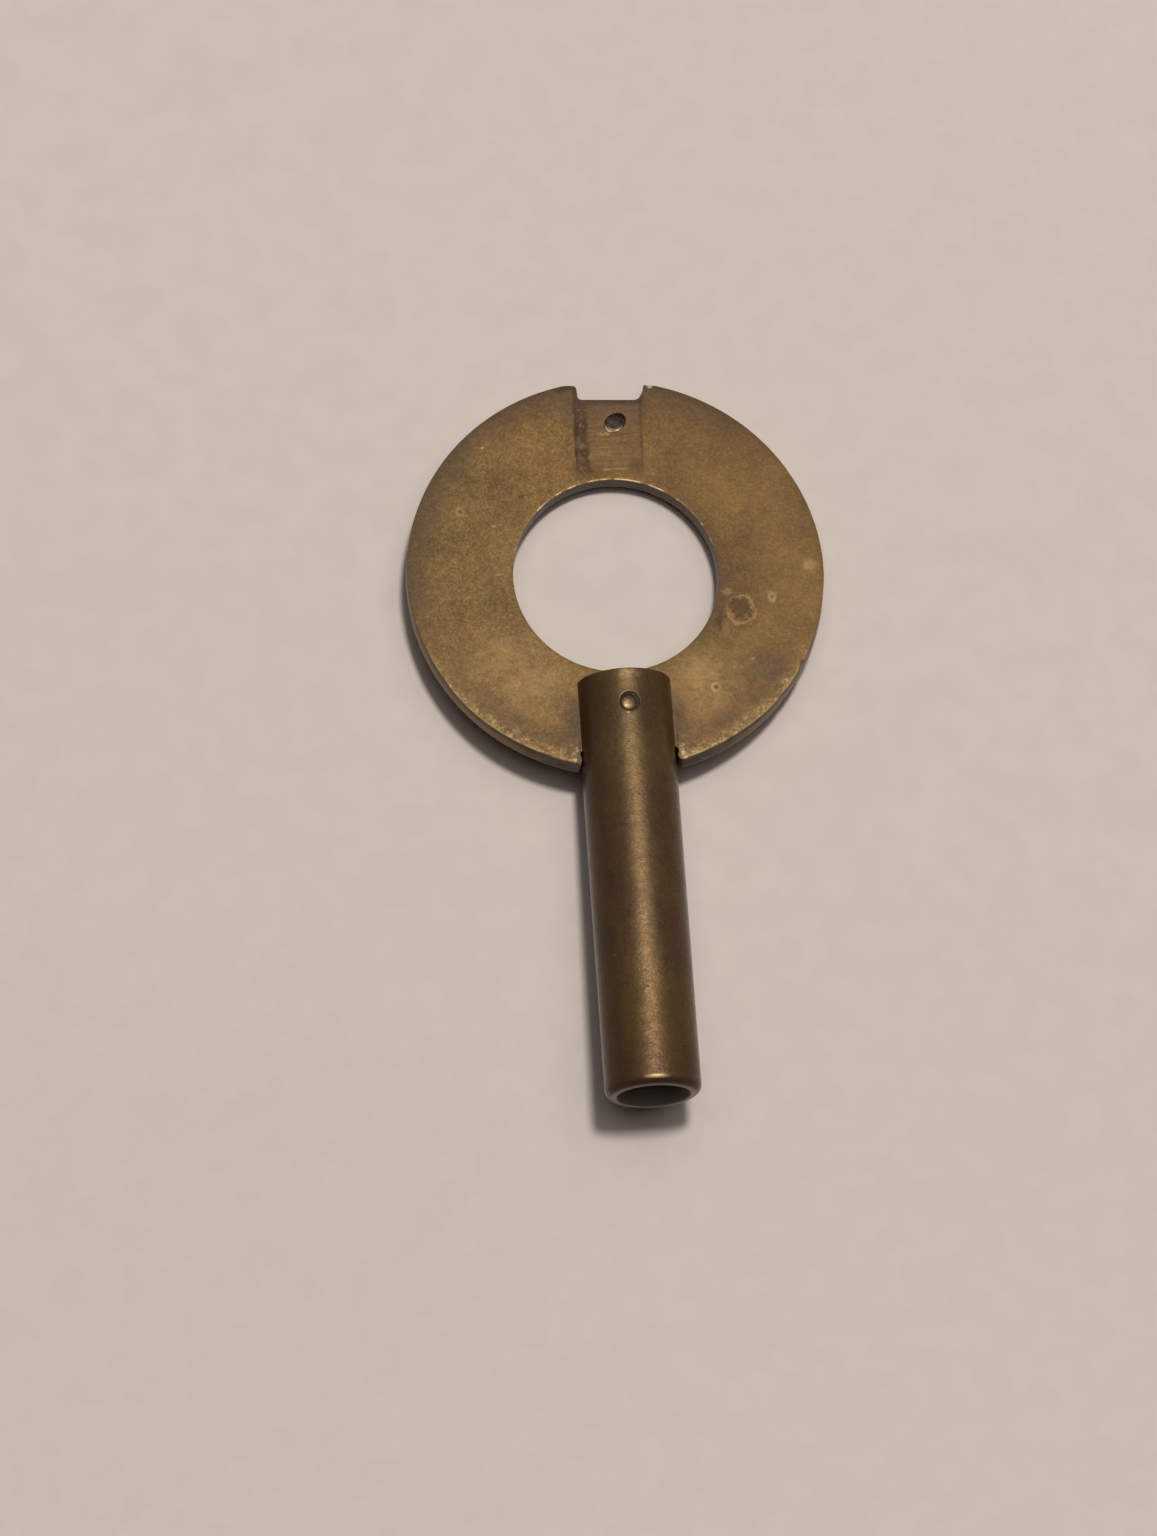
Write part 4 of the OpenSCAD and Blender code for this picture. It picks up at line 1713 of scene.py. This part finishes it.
        # Dusk in the sunk ring: dirt and painted shade
        sink = s.both(s.span(s.away(0.05, PIN_Y + 0.07), 0.68, 0.62), s.span(s.apart(s.z), 0.6, 0.8))
        colour = s.lay(colour, self.dusk, sink, 0.9)
        from_axis = s.away(0.0, 0.0, (1.0, 0.0, 1.0))
        inside = s.both(s.span(from_axis, self.bore_r + 0.06, self.bore_r + 0.01),
                        s.along(self.bore_end, self.bore_end - 0.5))
        colour = s.lay(colour, self.soot, inside)
        dull = s.math(Op.MAXIMUM, inside, sink)
        roughness = s.math(Op.MULTIPLY_ADD, s.across(1.6, 2.9), -0.18, s.span(speckle, 0.9, 1.1, 0.44, 0.38))
        roughness = s.math(Op.MULTIPLY_ADD, dull, 0.25, roughness)
        metallic = s.both(s.span(speckle, 0.9, 1.1, 0.42, 0.52), s.span(dull, 0.0, 1.0, 1.0, 0.15))
        wall = s.relief(s.noise(1.1, 5.0, 0.7), depth=0.038)
        normal = s.relief(pits, depth=-0.05, under=wall)
        return s.finish(colour, roughness, metallic, normal, specular=0.2)


@dataclass(frozen=True)
class PinFinish(Finish):
    """Brass pin with a rubbed crown and dirt round its dome."""

    crown: Colour = srgb(112, 92, 66)
    brown: Colour = srgb(84, 66, 44)
    dusk: Colour = srgb(56, 42, 28)
    patches: Mottle = Mottle(4.0, 0.4, 0.65)
    rough: Mottle = Mottle(5.0, 0.35, 0.65, 0.33, 0.4)
    metal: Mottle = Mottle(3.0, 0.3, 0.6, 0.8, 0.92)

    def material(self) -> bpy.types.Material:
        """Makes the material from the dome's attribute and noise in millimetres.

        Returns:
            Brown that is paler at the crown's middle, with dark patches and a dark border.
        """
        s = Sheet("pin_aged_brass")
        dome = s.measure("dome")
        colour = s.blend(s.span(dome, 0.3, 0.8), self.crown, self.brown)
        colour = s.lay(colour, self.dusk, s.mottle(self.patches), 0.4)
        colour = s.lay(colour, self.dusk, s.span(dome, 0.95, 1.06))
        relief = s.relief(s.noise(6.0), depth=0.012)
        return s.finish(colour, s.mottle(self.rough), s.mottle(self.metal), relief)


@dataclass(frozen=True)
class StubFinish(Finish):
    """Broken dark metal, with a painted highlight as a bright crescent on its high shoulder."""

    dark: Colour = srgb(56, 44, 34)
    mid: Colour = srgb(62, 49, 37)
    # Pale colour of the painted highlight
    bright: Colour = srgb(188, 160, 126)
    metal: Mottle = Mottle(3.0, 0.3, 0.6, 0.3, 0.5)

    def material(self) -> bpy.types.Material:
        """Makes the material from the stub's attribute and noise in millimetres.

        Returns:
            Dark metal, a little paler on its high side, with a painted highlight as a bright crescent on both
            ends.
        """
        s = Sheet("stub_broken_brass")
        stray = s.swing(0.0, (s.noise(2.8, 4.0, 0.65), 2.2))
        side = s.math(Op.MULTIPLY_ADD, stray, 0.6, s.measure("high_side"))
        colour = s.blend(s.span(side, -0.6, 0.5), self.dark, self.mid)
        # Bright crescent towards -Y on both ends: painted highlight
        crescent = s.span(s.away(STUB[0] + 0.02, STUB[1] + 0.2), 0.48, 0.68)
        high = s.both(crescent, s.span(s.apart(s.z), 0.2, 0.3))
        colour = s.lay(colour, self.bright, high)
        roughness = s.span(high, 0.0, 1.0, 0.6, 0.52)
        return s.finish(colour, roughness, s.mottle(self.metal), s.relief(s.noise(8.0), depth=0.02))


@dataclass(frozen=True)
class BushFinish(Finish):
    """Dull dirty brass with broaching marks along the socket."""

    brown: Colour = srgb(70, 57, 42)
    dark: Colour = srgb(36, 30, 26)

    def material(self) -> bpy.types.Material:
        """Makes the material.

        Returns:
            Two browns, a roughness and a relief that all follow one noise drawn out along the pipe.
        """
        s = Sheet("bush_broached_brass")
        marks = s.noise(5.0, 3.0, 0.6, (1.0, 0.08, 1.0))
        colour = s.blend(s.span(marks, 0.35, 0.65), self.dark, self.brown)
        roughness = s.span(marks, 0.3, 0.7, 0.65, 0.5)
        return s.finish(colour, roughness, s.span(marks, 0.3, 0.6, 0.4, 0.7), s.relief(marks, depth=0.03))


@dataclass(frozen=True)
class FloorFinish(Finish):
    """Plain pale paper."""

    pale: Colour = srgb(204, 191, 181)
    shade: Colour = srgb(201, 188, 178)
    drift: Mottle = Mottle(0.5, 0.35, 0.65, detail=4.0)
    rough: Mottle = Mottle(1.0, 0.3, 0.7, 0.85, 0.95)

    def material(self) -> bpy.types.Material:
        """Makes the material.

        Returns:
            Two close shades that drift with one noise, dull all over.
        """
        s = Sheet("pale_paper")
        colour = s.blend(s.mottle(self.drift), self.shade, self.pale)
        return s.finish(colour, s.mottle(self.rough), specular=0.1)


@dataclass
class Studio:
    """Pale floor, a lamp and a soft box overhead, a fill for reflections and the camera of the photo's view.

    Lamps, their places and the clipping distance are in metres, the rest in millimetres.
    """

    focal: float = 140.625
    sensor: float = 36.0
    clip_near: float = 0.01
    tilt: float = math.radians(-19.982)
    roll: float = math.radians(-11.157)
    turn: float = math.radians(14.343)
    eye: Triple = (-35.621, -139.549, 359.392)
    slope_x: float = 0.05
    slope_y: float = 0.108
    sloped_x: Pair = (-20.0, 20.0)
    sloped_y: Pair = (-10.0, 55.0)
    soft: float = 4.0
    paper_y: float = 22.0
    paper_scale: float = 40.0
    paper_reach: float = 3.6
    paper_rows: int = 121
    lamp_aim: Triple = (0.0, 0.024, 0.0)
    lamp_side: Triple = (0.066, 0.058, 1.0)
    lamp_colour: Colour = (1.0, 0.985, 0.965)
    lamp_reach: float = 0.8
    lamp_size: float = 0.1
    lamp_power: float = 4.4
    box_size: float = 0.8
    box_power: float = 2.55
    fill_level: float = 0.36
    fill_colour: Colour = (1.0, 0.97, 0.94)
    backdrop_level: float = 0.85

    def rise(self, value: Array, bound: float) -> Array:
        """How far a value lies above a bound, with a soft bend there."""
        return self.soft * np.logaddexp(0.0, (value - bound) / self.soft)

    def bend(self, value: Array, low: float, high: float) -> Array:
        """The value held between two bounds, with soft bends at both."""
        return low + self.rise(value, low) - self.rise(value, high)

    def paper(self, x: Array, y: Array) -> Array:
        """Height of the paper over its level: a gentle slope under the key that ends flat all round."""
        return self.slope_x * self.bend(x, *self.sloped_x) + self.slope_y * self.bend(y, *self.sloped_y)

    def floor(self, pieces: Sequence[bpy.types.Object]) -> None:
        """Makes the floor, as a sheet of paper raised until it touches the lowest piece above its slope.

        Args:
            pieces: pieces of the key.
        """
        level = math.inf
        for piece in pieces:
            points = np.empty(3 * len(piece.data.vertices), np.float32)
            piece.data.vertices.foreach_get("co", points)
            x, y, z = points.reshape(-1, 3).T / MM
            level = min(level, float((z - self.paper(x, y)).min()))
        side = self.paper_scale * np.sinh(np.linspace(-self.paper_reach, self.paper_reach, self.paper_rows))
        x, y = np.meshgrid(side, side + self.paper_y)
        shell = Shell()
        shell.add(np.stack([x, y, level + self.paper(x, y)], axis=-1))
        sheet = shell.build("paper_floor", {})
        sheet.data.materials.append(FloorFinish().material())

    def lamp(self, name: str, size: float, power: float) -> None:
        """Hangs a round lamp over the key, aimed at the middle of it.

        Args:
            name: name of the lamp.
            size: its diameter in metres.
            power: its power in watts.
        """
        light = bpy.data.lights.new(name, "AREA")
        light.shape = "DISK"
        light.size = size
        light.energy = power
        light.color = self.lamp_colour
        lamp = bpy.data.objects.new(name, light)
        side = Vector(self.lamp_side).normalized()
        lamp.location = Vector(self.lamp_aim) + self.lamp_reach * side
        lamp.rotation_euler = side.to_track_quat("Z", "Y").to_euler()
        bpy.context.scene.collection.objects.link(lamp)

    def fill(self) -> None:
        """Sets the fill: a dim even room that only shows in reflections, and pale to the camera."""
        world = bpy.data.worlds.new("soft_fill")
        world.use_nodes = True
        bpy.context.scene.world = world
        world.cycles_visibility.diffuse = False
        nodes, links = world.node_tree.nodes, world.node_tree.links
        path = nodes.new("ShaderNodeLightPath")
        level = nodes.new("ShaderNodeMix")
        links.new(path.outputs["Is Camera Ray"], level.inputs["Factor"])
        level.inputs["A"].default_value = self.fill_level
        level.inputs["B"].default_value = self.backdrop_level
        background = nodes["Background"]
        background.inputs["Color"].default_value = (*self.fill_colour, 1.0)
        links.new(level.outputs["Result"], background.inputs["Strength"])

    def camera(self) -> None:
        """Sets the camera at the photo's viewing angle, from its turns about +Z, +X and its own axis."""
        lens = bpy.data.cameras.new("photo_view")
        lens.lens = self.focal
        lens.sensor_width = self.sensor
        lens.clip_start = self.clip_near
        view = bpy.data.objects.new("photo_view", lens)
        aim = (Matrix.Rotation(-self.turn, 4, "Z") @ Matrix.Rotation(-self.tilt, 4, "X")
               @ Matrix.Rotation(-self.roll, 4, "Z"))
        place = Vector(self.eye) + Vector((0.0, BOW_Y, 0.0))
        view.matrix_world = Matrix.Translation(place * MM) @ aim
        bpy.context.scene.collection.objects.link(view)
        bpy.context.scene.camera = view

    def build(self, pieces: Sequence[bpy.types.Object]) -> None:
        """Makes the floor, the light and the camera.

        Args:
            pieces: pieces of the key, which the floor lies under.
        """
        bpy.context.scene.view_settings.view_transform = "Standard"
        self.floor(pieces)
        self.lamp("overhead_lamp", self.lamp_size, self.lamp_power)
        self.lamp("soft_box", self.box_size, self.box_power)
        self.fill()
        self.camera()


def main() -> None:
    """Builds the key's pieces in order, then the studio."""
    logging.basicConfig(level=logging.INFO, format="%(name)s: %(message)s")
    pieces = [
        BowPlate().dress(BowFinish(), "bow", Slot.BOW),
        WindingPipe().dress(PipeFinish(), "winding_pipe", Slot.PIPE),
        CrossPin().dress(PinFinish(), "pipe_pin", Slot.PIN),
        PinStub().dress(StubFinish(), "broken_pin", Slot.STUB),
    ]
    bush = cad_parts["square_bush"]
    bush.material_slots[0].material = BushFinish().material()
    LOG.info("%s keeps its solid", bush.name)
    Studio().build(pieces)


if __name__ == "__main__":
    main()
